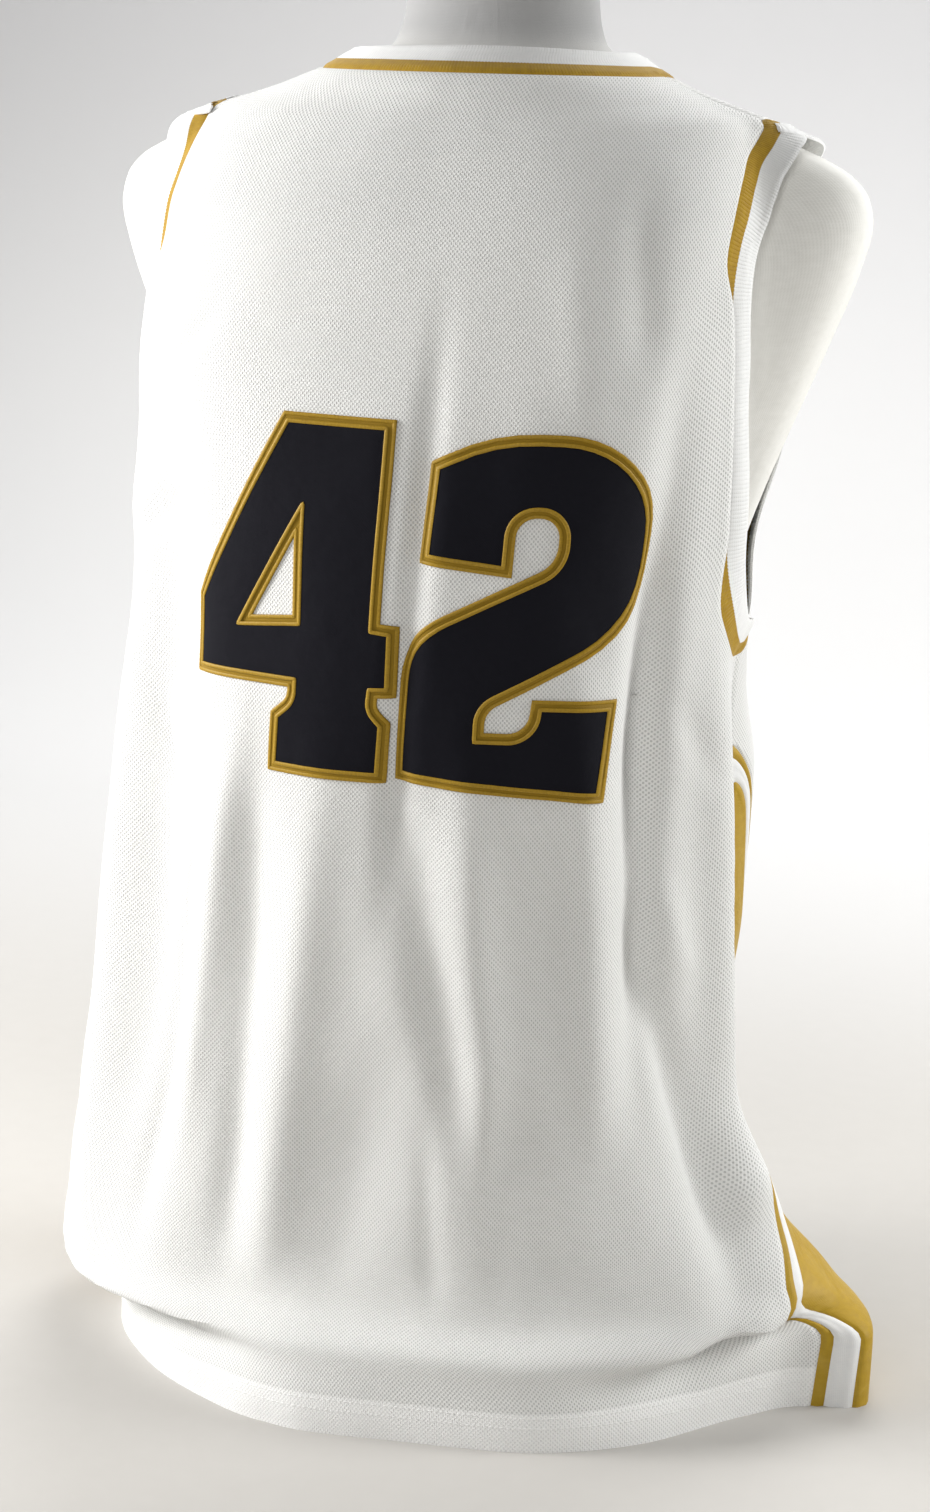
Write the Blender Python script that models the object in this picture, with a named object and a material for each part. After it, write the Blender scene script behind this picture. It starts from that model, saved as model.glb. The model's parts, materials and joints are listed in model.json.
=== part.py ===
"""A sleeveless basketball jersey worn by an armless torso dress form.

Metres, +Z up, the form standing on z = 0 with its back towards +Y.
The wearer's right is towards -X.

The jersey is described on one smooth surface that runs round the form, from the
hem on the floor to the neck.  A place on it has two cloth coordinates:

    around   0 at the centre back, +0.5 down the wearer's right side,
             -0.5 down the left side, and +1 or -1 at the centre front
    up       length of cloth above the hem edge at the centre back, in metres

Every panel, strip, rib band and number is a wall with its points on that surface.
"""

import math
from collections import namedtuple

import bmesh
import bpy
import numpy as np
from mathutils import Vector, geometry

# ---------------------------------------------------------------- driving sizes
CLOTH = 0.0012  # thickness of the knitted body panels
BAND_CLOTH = 0.0015  # thickness of the rib bands, under their ribs
TWILL = 0.0008  # thickness of each layer of a number
SEAM_GAP = 0.0003  # between two pieces at a seam, and under each number layer
EASE = 0.0060  # cloth clear of the form where it lies on it
LIFT = 0.0030  # and clear above it, on the shoulders

BAND_WIDTH = 0.023  # rib band at the neck and armholes
RIB_PITCH = 0.0044
RIB_HEIGHT = 0.0006
BAND_STANDS_OFF = 0.0020  # of a band's free edge, further than the cloth


NUMBER_HEIGHT = 0.203
NUMBER_UP = 0.442  # bottom edge of the numerals above the hem, along the cloth
NUMBER_ACROSS = 0.0015  # middle of the numerals, + to the wearer's right
NUMBER_LEAN = 0.010  # sideways lean of the numerals for each metre up
TWILL_BORDER = 0.0052  # gold twill that shows round the dark twill
DIGIT_GAP = 0.002
DIGIT_DROP = 0.005  # the second numeral lies lower, as the cloth sags to the right

# ---------------------------------------------------------------- dress form
# Level cuts through the form.  half, back and front are the trunk's half width and
# depths; arm is how far the shoulder stub reaches out, arm_depth its half depth, and
# sway how far the cut's middle lies to the wearer's left.
Cut = namedtuple("Cut", "z half back front square arm arm_depth sway")
FORM = [
    Cut(0.0000, 0.1500, 0.1080, 0.0920, 2.3, 0.1000, 0.030, 0.0000),
    Cut(0.0600, 0.1560, 0.1140, 0.0980, 2.3, 0.1000, 0.030, 0.0000),
    Cut(0.1600, 0.1500, 0.1060, 0.1020, 2.2, 0.1000, 0.030, 0.0000),
    Cut(0.2700, 0.1400, 0.0940, 0.1000, 2.2, 0.1000, 0.030, 0.0000),
    Cut(0.3800, 0.1450, 0.1000, 0.1080, 2.3, 0.1000, 0.030, 0.0000),
    Cut(0.4800, 0.1515, 0.1115, 0.1175, 2.4, 0.1200, 0.030, 0.0000),
    Cut(0.5450, 0.1575, 0.1215, 0.1235, 2.6, 0.1600, 0.034, 0.0000),
    Cut(0.6000, 0.1615, 0.1275, 0.1215, 2.9, 0.1860, 0.048, 0.0000),
    Cut(0.6400, 0.1625, 0.1275, 0.1135, 3.0, 0.2030, 0.055, 0.0000),
    Cut(0.6800, 0.1625, 0.1225, 0.1005, 3.0, 0.2180, 0.056, 0.0000),
    Cut(0.7080, 0.1615, 0.1155, 0.0875, 3.0, 0.2245, 0.052, 0.0000),
    Cut(0.7220, 0.1595, 0.1095, 0.0805, 2.9, 0.2215, 0.047, 0.0000),
    Cut(0.7330, 0.1575, 0.1045, 0.0755, 2.8, 0.2130, 0.042, 0.0000),
    Cut(0.7425, 0.1555, 0.0995, 0.0635, 2.6, 0.1970, 0.037, 0.0000),
    Cut(0.7510, 0.1535, 0.0935, 0.0550, 2.4, 0.1760, 0.032, 0.0000),
    Cut(0.7590, 0.1485, 0.0885, 0.0510, 2.3, 0.1570, 0.028, 0.0000),
    Cut(0.7670, 0.1275, 0.0835, 0.0465, 2.1, 0.1300, 0.024, -0.0015),
    Cut(0.7770, 0.1045, 0.0785, 0.0445, 2.1, 0.0900, 0.020, -0.0030),
    Cut(0.7840, 0.0885, 0.0720, 0.0445, 2.0, 0.0700, 0.020, -0.0040),
    Cut(0.7890, 0.0765, 0.0615, 0.0475, 2.0, 0.0600, 0.020, -0.0040),
    Cut(0.7960, 0.0690, 0.0530, 0.0610, 2.0, 0.0500, 0.020, -0.0055),
    Cut(0.8040, 0.0610, 0.0450, 0.0640, 2.0, 0.0400, 0.020, -0.0055),
    Cut(0.8220, 0.0560, 0.0370, 0.0700, 2.0, 0.0400, 0.020, -0.0055),
    Cut(0.8515, 0.0540, 0.0320, 0.0760, 2.0, 0.0400, 0.020, -0.0055),
]
ARM_FORWARD = 0.012  # the stubs' middle lies forward of the trunk's
JOIN = 14  # how sharply a stub meets the trunk
FORM_SEGMENTS = 32
CAP_THICKNESS = 0.010
CAP_SLOPE = 0.30  # the neck is cut sloping down to the front

# ---------------------------------------------------------------- hanging cloth
# Level rings of the jersey where it hangs clear of the form, over the hem strip.
Ring = namedtuple("Ring", "up z left right back front square sway arm arm_depth")
HANGING = [
    Ring(0.000, 0.000, 0.243, 0.216, 0.150, 0.128, 2.1, 0.008, 0.10, 0.03),
    Ring(0.044, 0.044, 0.244, 0.218, 0.150, 0.128, 2.1, 0.008, 0.10, 0.03),
    Ring(0.056, 0.050, 0.252, 0.220, 0.148, 0.128, 2.1, 0.008, 0.10, 0.03),
    Ring(0.070, 0.053, 0.255, 0.222, 0.142, 0.128, 2.1, 0.008, 0.10, 0.03),
    Ring(0.085, 0.056, 0.256, 0.223, 0.137, 0.128, 2.1, 0.008, 0.10, 0.03),
    Ring(0.100, 0.064, 0.255, 0.222, 0.134, 0.128, 2.1, 0.008, 0.10, 0.03),
    Ring(0.120, 0.081, 0.253, 0.217, 0.132, 0.129, 2.1, 0.008, 0.10, 0.03),
    Ring(0.150, 0.108, 0.249, 0.204, 0.131, 0.130, 2.1, 0.008, 0.10, 0.03),
    Ring(0.200, 0.157, 0.240, 0.180, 0.131, 0.132, 2.1, 0.007, 0.10, 0.03),
    Ring(0.260, 0.216, 0.229, 0.167, 0.134, 0.135, 2.1, 0.006, 0.10, 0.03),
    Ring(0.340, 0.296, 0.219, 0.166, 0.139, 0.138, 2.1, 0.005, 0.10, 0.03),
    Ring(0.420, 0.376, 0.214, 0.168, 0.144, 0.142, 2.1, 0.004, 0.10, 0.03),
    Ring(0.500, 0.456, 0.207, 0.169, 0.148, 0.145, 2.1, 0.002, 0.12, 0.03),
    Ring(0.560, 0.516, 0.203, 0.169, 0.147, 0.146, 2.2, 0.001, 0.14, 0.03),
    Ring(0.620, 0.576, 0.198, 0.170, 0.142, 0.139, 2.5, 0.000, 0.17, 0.04),
]
LYING_FROM_Z = 0.61  # above this height the jersey lies on the form

# How far each side of the jersey stands off the trunk there; it has slipped left.
Stand = namedtuple("Stand", "z left right")
STANDS = [
    Stand(0.610, 0.029, 0.002),
    Stand(0.640, 0.024, 0.000),
    Stand(0.680, 0.018, 0.000),
    Stand(0.708, 0.014, 0.000),
    Stand(0.744, 0.009, 0.000),
    Stand(0.759, 0.004, 0.001),
    Stand(0.767, 0.007, 0.004),
    Stand(0.789, 0.006, 0.004),
    Stand(0.798, 0.000, 0.000),
    Stand(0.830, 0.000, 0.000),
]

# Plan of the hem on the floor, from the centre back round to the centre front.
HemPoint = namedtuple("HemPoint", "x y")
HEM_RIGHT = [
    HemPoint(0.0000, 0.1570),
    HemPoint(-0.0400, 0.1525),
    HemPoint(-0.0795, 0.1465),
    HemPoint(-0.1100, 0.1340),
    HemPoint(-0.1334, 0.1194),
    HemPoint(-0.1743, 0.0826),
    HemPoint(-0.1972, 0.0582),
    HemPoint(-0.2207, 0.0360),
    HemPoint(-0.2390, 0.0290),
    HemPoint(-0.2570, 0.0250),
    HemPoint(-0.2640, 0.0170),
    HemPoint(-0.2620, 0.0020),
    HemPoint(-0.2500, -0.0300),
    HemPoint(-0.2250, -0.0650),
    HemPoint(-0.1850, -0.0950),
    HemPoint(-0.1250, -0.1190),
    HemPoint(-0.0600, -0.1290),
    HemPoint(0.0000, -0.1310),
]
HEM_LEFT = [
    HemPoint(0.0000, 0.1570),
    HemPoint(0.0250, 0.1590),
    HemPoint(0.0518, 0.1600),
    HemPoint(0.0797, 0.1555),
    HemPoint(0.1157, 0.1410),
    HemPoint(0.1434, 0.1250),
    HemPoint(0.1797, 0.0900),
    HemPoint(0.2043, 0.0600),
    HemPoint(0.2160, 0.0339),
    HemPoint(0.2200, 0.0050),
    HemPoint(0.2170, -0.0250),
    HemPoint(0.2050, -0.0600),
    HemPoint(0.1750, -0.0930),
    HemPoint(0.1200, -0.1190),
    HemPoint(0.0600, -0.1290),
    HemPoint(0.0000, -0.1310),
]
FLARE = 0.040  # cloth of the strip that already leans in at the centre back
STRIP_TOP = 0.044  # of the hem strip, up to where it meets the rings above

# Buckle over the hem, round the jersey: the crease's place up the cloth, how deep and
# how wide it is, how far the roll over it stands out, and 1 where the strip's top
# lies level as a shelf or 0 where the cloth goes straight up.  low is how much
# lower the strip is squashed there, and run the cloth over which the jersey turns
# from the plan of its hem to the rings.
Buckle = namedtuple("Buckle", "around crease depth width roll shelf low run")
BUCKLES = [
    Buckle(-1.00, 0.050, 0.008, 0.016, 0.004, 0.3, 0.10, 0.055),
    Buckle(-0.72, 0.055, 0.010, 0.018, 0.006, 0.5, 0.15, 0.060),
    Buckle(-0.55, 0.062, 0.009, 0.022, 0.003, 0.7, 0.16, 0.065),
    Buckle(-0.46, 0.060, 0.014, 0.020, 0.003, 0.8, 0.20, 0.060),
    Buckle(-0.36, 0.054, 0.018, 0.016, 0.006, 0.8, 0.25, 0.050),
    Buckle(-0.24, 0.044, 0.012, 0.013, 0.005, 0.4, 0.12, 0.045),
    Buckle(-0.12, 0.038, 0.005, 0.015, 0.003, 0.1, 0.04, 0.045),
    Buckle(0.00, 0.036, 0.004, 0.016, 0.002, 0.0, 0.00, 0.045),
    Buckle(0.15, 0.035, 0.006, 0.014, 0.003, 0.0, 0.00, 0.042),
    Buckle(0.28, 0.038, 0.012, 0.011, 0.006, 0.2, 0.00, 0.048),
    Buckle(0.36, 0.062, 0.012, 0.014, 0.003, 0.8, 0.00, 0.055),
    Buckle(0.42, 0.076, 0.013, 0.021, 0.002, 1.0, 0.00, 0.058),
    Buckle(0.46, 0.078, 0.007, 0.021, 0.001, 0.8, 0.00, 0.066),
    Buckle(0.50, 0.076, 0.003, 0.018, 0.000, 0.3, 0.00, 0.085),
    Buckle(0.58, 0.070, 0.004, 0.018, 0.000, 0.2, 0.00, 0.085),
    Buckle(0.72, 0.060, 0.008, 0.016, 0.004, 0.4, 0.10, 0.065),
    Buckle(1.00, 0.050, 0.008, 0.016, 0.004, 0.3, 0.10, 0.055),
]
LOW_FADES = 0.070  # cloth over which a low stretch of hem rises back to the rings

# Folds run from a low to a high place; across is in metres from the centre back.
Fold = namedtuple("Fold", "across_low up_low across_high up_high width depth")
FOLDS = [
    Fold(-0.245, 0.06, -0.200, 0.68, 0.022, 0.0100),
    Fold(-0.190, 0.08, -0.155, 0.72, 0.028, -0.0120),
    Fold(-0.180, 0.09, -0.128, 0.50, 0.010, -0.0065),
    Fold(-0.150, 0.15, -0.096, 0.52, 0.012, 0.0060),
    Fold(-0.110, 0.09, -0.086, 0.47, 0.012, -0.0065),
    Fold(-0.086, 0.07, -0.040, 0.50, 0.017, 0.0070),
    Fold(-0.008, 0.33, 0.014, 0.74, 0.008, -0.0050),
    Fold(0.052, 0.17, -0.012, 0.50, 0.013, -0.0055),
    Fold(0.060, 0.17, 0.032, 0.52, 0.015, 0.0055),
    Fold(0.124, 0.18, 0.098, 0.56, 0.014, 0.0065),
    Fold(0.225, 0.10, 0.136, 0.38, 0.013, -0.0120),
    Fold(0.148, 0.20, 0.141, 0.62, 0.013, -0.0130),
    Fold(0.138, 0.36, 0.154, 0.74, 0.014, -0.0070),
    Fold(0.232, 0.10, 0.178, 0.70, 0.020, 0.0030),
    Fold(0.110, 0.07, 0.060, 0.30, 0.016, -0.0040),
    Fold(-0.040, 0.07, -0.010, 0.32, 0.020, -0.0035),
    Fold(0.128, 0.66, 0.112, 0.80, 0.011, -0.0030),
    Fold(0.100, 0.62, 0.080, 0.77, 0.014, 0.0020),
    Fold(0.240, -0.06, 0.190, 0.60, 0.015, 0.0125),
    Fold(0.254, 0.060, 0.232, 0.24, 0.024, 0.0175),
    Fold(0.252, 0.14, 0.238, 0.58, 0.017, -0.0120),
    Fold(0.296, 0.22, 0.290, 0.60, 0.030, 0.0100),
    Fold(0.300, 0.42, 0.290, 0.63, 0.045, -0.0110),
    Fold(0.228, 0.088, 0.222, 0.190, 0.018, -0.0150),
    Fold(-0.330, 0.12, -0.310, 0.44, 0.024, 0.0060),
    Fold(-0.390, 0.10, -0.370, 0.44, 0.022, -0.0090),
    Fold(-0.470, 0.12, -0.455, 0.40, 0.026, 0.0070),
    Fold(0.360, 0.12, 0.350, 0.42, 0.022, -0.0080),
    Fold(0.430, 0.12, 0.420, 0.40, 0.026, 0.0070),
]

# ---------------------------------------------------------------- cutting lines
# Armhole edges of the two panels by height: how far back and how far forward of the
# side and shoulder seams' plane they lie.
Armhole = namedtuple("Armhole", "z back front")
ARMHOLE = [
    Armhole(0.4560, 0.000, 0.000),
    Armhole(0.4585, 0.020, 0.016),
    Armhole(0.4670, 0.038, 0.026),
    Armhole(0.4850, 0.053, 0.034),
    Armhole(0.5120, 0.063, 0.042),
    Armhole(0.5450, 0.068, 0.050),
    Armhole(0.5850, 0.070, 0.063),
    Armhole(0.6250, 0.071, 0.076),
    Armhole(0.6650, 0.071, 0.078),
    Armhole(0.7000, 0.064, 0.075),
    Armhole(0.7250, 0.047, 0.065),
    Armhole(0.7420, 0.031, 0.055),
    Armhole(0.7540, 0.016, 0.040),
    Armhole(0.7610, 0.007, 0.021),
    Armhole(0.7645, 0.000, 0.000),
]
NECK_Z = 0.7865  # of the back neckline, and where it meets the shoulder seams

# Front neckline under the shoulder seams: its half width at each height.
Scoop = namedtuple("Scoop", "z half")
FRONT_NECK = [
    Scoop(0.7800, 0.0930),
    Scoop(0.7680, 0.0830),
    Scoop(0.7490, 0.0700),
    Scoop(0.7300, 0.0520),
    Scoop(0.7180, 0.0280),
    Scoop(0.7140, 0.0000),
]

# Outlines in the side insert, each a pointed arch: half width at the hem and apex.
Arch = namedtuple("Arch", "half_width apex_up")
INSERT_OUTLINE = Arch(0.074, 0.445)  # outer edge of the narrow gold strip
INSERT_WHITE = Arch(0.067, 0.436)  # seam of the gold strip and the white strip
INSERT_GOLD = Arch(0.052, 0.420)  # edge of the wide gold panel
ARCH_POWER = 0.55
# Around at the middle of each insert; the jersey is turned to the left, and its back
# panel bags out beside the right insert.
Middle = namedtuple("Middle", "up right left")
INSERT_MIDDLE = [
    Middle(0.000, 0.557, 0.610),
    Middle(0.044, 0.556, 0.600),
    Middle(0.066, 0.552, 0.595),
    Middle(0.092, 0.543, 0.589),
    Middle(0.116, 0.543, 0.582),
    Middle(0.145, 0.560, 0.574),
    Middle(0.200, 0.578, 0.561),
    Middle(0.270, 0.560, 0.543),
    Middle(0.340, 0.546, 0.526),
    Middle(0.400, 0.532, 0.511),
    Middle(0.445, 0.505, 0.500),
]

# Rows of points up the side edges, close together in the buckle over the hem.
INSERT_ROWS = [
    0.0, 0.018, 0.030, 0.041, 0.052, 0.062, 0.073, 0.084, 0.096, 0.112, 0.135,
    0.170, 0.210, 0.250, 0.295, 0.335, 0.368, 0.395, 0.415, 0.425,
]  # fmt: skip
SIDE_ROWS = [0.462, 0.482]
BACK_NECK_COLUMNS = 19
FRONT_NECK_COLUMNS = 12
SHOULDER_COLUMNS = 3
GOLD_COLUMNS = 4
TOP_REACH = 4  # how little the neckline bends the rows of points under it
SIDES_HUG = 4  # how little the armholes bend the columns of points near the top

GOLD = (0.50, 0.30, 0.035, 1.0)
WHITE = (0.86, 0.86, 0.84, 1.0)
MATERIALS = {
    "white_knit": (WHITE, 0.75, 0.0),
    "white_rib": (WHITE, 0.80, 0.0),
    "gold_knit": (GOLD, 0.55, 0.0),
    "gold_twill": (GOLD, 0.60, 0.0),
    "dark_twill": ((0.008, 0.008, 0.014, 1.0), 0.65, 0.0),
    "form_cover": ((0.80, 0.79, 0.75, 1.0), 0.85, 0.0),
    "neck_plate": ((0.30, 0.33, 0.38, 1.0), 0.40, 0.0),
}

# ---------------------------------------------------------------- numerals
# Corners of each numeral in millimetres, anticlockwise, with rounding radii.
Corner = namedtuple("Corner", "x y radius")
FOUR = [
    Corner(54.5, -2.5, 0), Corner(127, -2.5, 0), Corner(128.5, 33, 0), Corner(121, 41.5, 8),
    Corner(121.5, 47, 0), Corner(131, 47.5, 0), Corner(131.5, 88.5, 0), Corner(121.5, 89.5, 0),
    Corner(124, 202.5, 0), Corner(57, 203.5, 0), Corner(-3.5, 93.5, 0), Corner(-3, 47.5, 0),
    Corner(66.5, 48, 0), Corner(66.5, 42, 9), Corner(55.5, 32.5, 0),
]  # fmt: skip
FOUR_EYE = [Corner(40, 86.5, 0), Corner(67.5, 89.5, 0), Corner(67, 134, 0)]
TWO = [
    Corner(-2, 5, 0), Corner(117, -4, 0), Corner(124, 55, 0), Corner(75, 56, 0),
    Corner(73, 36.5, 12), Corner(49.5, 36.5, 0), Corner(49.5, 48.5, 12),
    Corner(139.5, 98, 68), Corner(139.5, 203.5, 55), Corner(45, 203.5, 108),
    Corner(11, 185.5, 0), Corner(8, 129.5, 0), Corner(60, 124, 0),
    Corner(61, 157.5, 11), Corner(84.5, 157.5, 11), Corner(84.5, 132.5, 17),
    Corner(0, 89.5, 44),
]  # fmt: skip
ARC_STEP = math.radians(24)


# ---------------------------------------------------------------- smooth tables
def slopes(x, y):
    """Slopes of a smooth curve through a table that never overshoots its rows."""
    step = np.diff(x)
    rise = np.diff(y) / step
    slope = np.zeros_like(y)
    slope[0], slope[-1] = rise[0], rise[-1]
    for i in range(1, len(y) - 1):
        if rise[i - 1] * rise[i] > 0:
            before = 2 * step[i] + step[i - 1]
            after = step[i] + 2 * step[i - 1]
            slope[i] = (before + after) / (before / rise[i - 1] + after / rise[i])
    return slope


def smooth_curve(x, y, at):
    """The smooth curve through rows (x, y), read at any places."""
    at = np.clip(np.asarray(at, float), x[0], x[-1])
    i = np.clip(np.searchsorted(x, at, side="right") - 1, 0, len(x) - 2)
    step = x[i + 1] - x[i]
    t = (at - x[i]) / step
    slope = slopes(x, y)
    return (
        y[i] * (1 + 2 * t) * (1 - t) ** 2
        + slope[i] * step * t * (1 - t) ** 2
        + y[i + 1] * t * t * (3 - 2 * t)
        + slope[i + 1] * step * t * t * (t - 1)
    )


def read_table(rows, key, column, at):
    """One column of a table of named rows, read smoothly at any places."""
    x = np.array([getattr(row, key) for row in rows], float)
    y = np.array([getattr(row, column) for row in rows], float)
    return smooth_curve(x, y, at)


def ease_in(t):
    """0 below 0, 1 above 1, and smooth between."""
    t = np.clip(t, 0.0, 1.0)
    return t * t * (3 - 2 * t)


# ---------------------------------------------------------------- jersey surface
def jersey_rings():
    """The hanging rings, then rings that follow the form a little way off it."""
    rings = list(HANGING)
    for cut in FORM:
        if LYING_FROM_Z < cut.z <= 0.83:
            last = rings[-1]
            back, side = cut.back + EASE, cut.half + EASE
            lift = LIFT * float(ease_in((cut.z - 0.735) / 0.015))
            climb = math.hypot(cut.z + lift - last.z, back - last.back)
            front = cut.front + EASE + 3 * lift
            left = side + float(read_table(STANDS, "z", "left", cut.z))
            right = side + float(read_table(STANDS, "z", "right", cut.z))
            ring = (last.up + climb, cut.z + lift, left, right, back, front)
            stub = (cut.arm + EASE, cut.arm_depth + EASE)
            rings.append(Ring(*ring, cut.square, cut.sway, *stub))
    return rings


RINGS = jersey_rings()
QUARTERS = np.linspace(0.0, math.pi, 161)  # angles from centre back to centre front


def up_at_height(z):
    """Cloth length above the hem at a height, over the buckle."""
    ups = np.linspace(0.12, RINGS[-1].up, 2000)
    return np.interp(z, read_table(RINGS, "up", "z", ups), ups)


def section(turn, half, back, front, square, arm, arm_depth):
    """A level section at angles from the centre back: x out to the side, and y.

    The trunk is a squared oval, and a stub is one too; the two are joined smoothly.
    """
    sine, cosine = np.sin(turn), np.cos(turn)
    depth = np.where(cosine >= 0, back, front)
    trunk = (np.abs(sine / half) ** square + np.abs(cosine / depth) ** square) ** (-1 / square)
    reach = np.where(cosine >= 0, arm_depth - ARM_FORWARD, arm_depth + ARM_FORWARD)
    stub = (np.abs(sine / arm) ** 3.2 + np.abs(cosine / reach) ** 3.2) ** (-1 / 3.2)
    out = (trunk**JOIN + stub**JOIN) ** (1 / JOIN)
    return out * sine, out * cosine


def half_outlines(up, side):
    """Halves of the rings as arrays (places, angles): x, y and length so far."""
    width = read_table(RINGS, "up", "right" if side > 0 else "left", up)[:, None]
    names = ("back", "front", "square", "arm", "arm_depth")
    columns = [read_table(RINGS, "up", name, up)[:, None] for name in names]
    x, y = section(QUARTERS, width, *columns)
    length = np.hypot(np.diff(x, axis=1), np.diff(y, axis=1)).cumsum(axis=1)
    length = np.concatenate([np.zeros((len(up), 1)), length], axis=1)
    sway = read_table(RINGS, "up", "sway", up)[:, None]
    return sway - side * x, y, length


def half_length(up, side):
    """Length of one half of the rings, from centre back to centre front."""
    up = np.asarray(up, float)
    return half_outlines(up.ravel(), side)[2][:, -1].reshape(up.shape)


def hem_curve(side):
    """Plan of one half of the hem, as a curve in its own length from 0 to 1."""
    rows = HEM_RIGHT if side > 0 else HEM_LEFT
    x = np.array([row.x for row in rows])
    y = np.array([row.y for row in rows])
    length = np.concatenate([[0.0], np.hypot(np.diff(x), np.diff(y)).cumsum()])
    return length / length[-1], x, y


def ring_points(around, up):
    """Places on the smooth surface, before it buckles and folds."""
    around, up = np.broadcast_arrays(np.asarray(around, float), np.asarray(up, float))
    shape, around, up = around.shape, around.ravel(), up.ravel()
    points = np.zeros((len(up), 3))
    run = read_table(BUCKLES, "around", "run", around)
    flared = FLARE * np.exp(-(((around + 0.03) / 0.27) ** 2))
    on_ring = ease_in((up - STRIP_TOP + flared) / (run + flared))
    for side in (1, -1):
        here = np.flatnonzero((around >= 0) if side > 0 else (around < 0))
        if not len(here):
            continue
        x, y, length = half_outlines(up[here], side)
        part = np.abs(around[here])
        for row, place in enumerate(here):
            wanted = part[row] * length[row, -1]
            points[place, 0] = np.interp(wanted, length[row], x[row])
            points[place, 1] = np.interp(wanted, length[row], y[row])
        along, hem_x, hem_y = hem_curve(side)
        ring = on_ring[here]
        points[here, 0] = ring * points[here, 0] + (1 - ring) * smooth_curve(along, hem_x, part)
        points[here, 1] = ring * points[here, 1] + (1 - ring) * smooth_curve(along, hem_y, part)
    straight_up = np.interp(up, [0.0, STRIP_TOP, 0.15], [0.0, STRIP_TOP, 0.108])
    shelf = read_table(BUCKLES, "around", "shelf", around) * (up < 0.15)
    level = read_table(RINGS, "up", "z", up)
    low = read_table(BUCKLES, "around", "low", around)
    low = low * (1 - ease_in((up - 0.085) / LOW_FADES))
    points[:, 2] = np.where(up < 0.15, shelf * level + (1 - shelf) * straight_up, level) * (1 - low)
    return points.reshape(shape + (3,))


def across_metres(around, up):
    """Metres round the ring from the centre back, + to the wearer's right."""
    around, up = np.broadcast_arrays(np.asarray(around, float), np.asarray(up, float))
    return around * np.where(around >= 0, half_length(up, 1), half_length(up, -1))


def fold_depth(around, up):
    """How far the folds push the cloth outwards."""
    across = across_metres(around, up)
    depth = np.zeros(across.shape)
    for fold in FOLDS:
        run = (fold.across_high - fold.across_low, fold.up_high - fold.up_low)
        span = math.hypot(*run)
        along = ((across - fold.across_low) * run[0] + (up - fold.up_low) * run[1]) / span
        off = ((across - fold.across_low) * run[1] - (up - fold.up_low) * run[0]) / span
        fade = ease_in(along / (0.30 * span)) * ease_in((span - along) / (0.40 * span))
        depth += fold.depth * np.exp(-((off / fold.width) ** 2)) * fade
    return depth * ease_in((up - STRIP_TOP) / 0.05)


def buckle_push(around, up):
    """How far the buckle over the hem pushes the cloth outwards."""
    crease, depth, width, roll = (
        read_table(BUCKLES, "around", column, around)
        for column in ("crease", "depth", "width", "roll")
    )
    in_crease = np.exp(-(((up - crease) / width) ** 2))
    in_roll = ease_in((up - crease) / 0.02) * (1 - ease_in((up - crease - 0.022) / 0.045))
    return roll * in_roll - depth * in_crease


def outward(around, up):
    """Level directions out of the smooth surface."""
    step = 1e-3
    ahead = ring_points(around + step, up) - ring_points(around - step, up)
    out = np.stack([ahead[..., 1], -ahead[..., 0], np.zeros(ahead.shape[:-1])], axis=-1)
    return out / np.linalg.norm(out, axis=-1, keepdims=True)


def cloth_points(around, up):
    """Places on the inner face of the cloth, folds and buckle included."""
    around, up = np.broadcast_arrays(np.asarray(around, float), np.asarray(up, float))
    push = buckle_push(around, up) + fold_depth(around, up)
    return ring_points(around, up) + outward(around, up) * push[..., None]


def cloth_normals(around, up):
    """Directions out of the cloth."""
    step = 8e-4
    along = cloth_points(around + step, up) - cloth_points(around - step, up)
    rising = cloth_points(around, up + step) - cloth_points(around, np.maximum(up - step, 0))
    out = np.cross(along, rising)
    return out / np.linalg.norm(out, axis=-1, keepdims=True)


# ---------------------------------------------------------------- seam lines
# A line is an array of (around, up) rows.
def wrap(around):
    """Keeps around between -1 and 1."""
    return (around + 1) % 2 - 1


def offset_line(line, distance, closed=False):
    """The line moved sideways on the surface: left of its run, seen from outside."""
    step = 1e-3
    around, up = line[:, 0], line[:, 1]
    here = cloth_points(wrap(around), up)
    per_around = cloth_points(wrap(around + step), up) - cloth_points(wrap(around - step), up)
    per_up = cloth_points(wrap(around), up + step) - cloth_points(wrap(around), np.maximum(up - step, 0))
    per_around /= 2 * step
    per_up /= (up + step - np.maximum(up - step, 0))[:, None]
    out = np.cross(per_around, per_up)
    out /= np.linalg.norm(out, axis=1, keepdims=True)
    if closed:
        before, after = here - np.roll(here, 1, axis=0), np.roll(here, -1, axis=0) - here
    else:
        run = np.diff(here, axis=0)
        before, after = np.vstack([run[:1], run]), np.vstack([run, run[-1:]])
    sideways = []
    for run in (before, after):
        side = np.cross(out, run)
        sideways.append(side / np.linalg.norm(side, axis=1, keepdims=True))
    mitre = sideways[0] + sideways[1]
    mitre /= np.maximum(1 + (sideways[0] * sideways[1]).sum(axis=1), 0.4)[:, None]
    mitre *= distance
    e = (per_around * per_around).sum(axis=1)
    f = (per_around * per_up).sum(axis=1)
    g = (per_up * per_up).sum(axis=1)
    a, b = (mitre * per_around).sum(axis=1), (mitre * per_up).sum(axis=1)
    moved = np.stack([(g * a - f * b), (e * b - f * a)], axis=1) / (e * g - f * f)[:, None]
    return line + moved


def insert_centre(up, side):
    """Around at the middle of a side insert."""
    return read_table(INSERT_MIDDLE, "up", "right" if side > 0 else "left", up)


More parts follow.
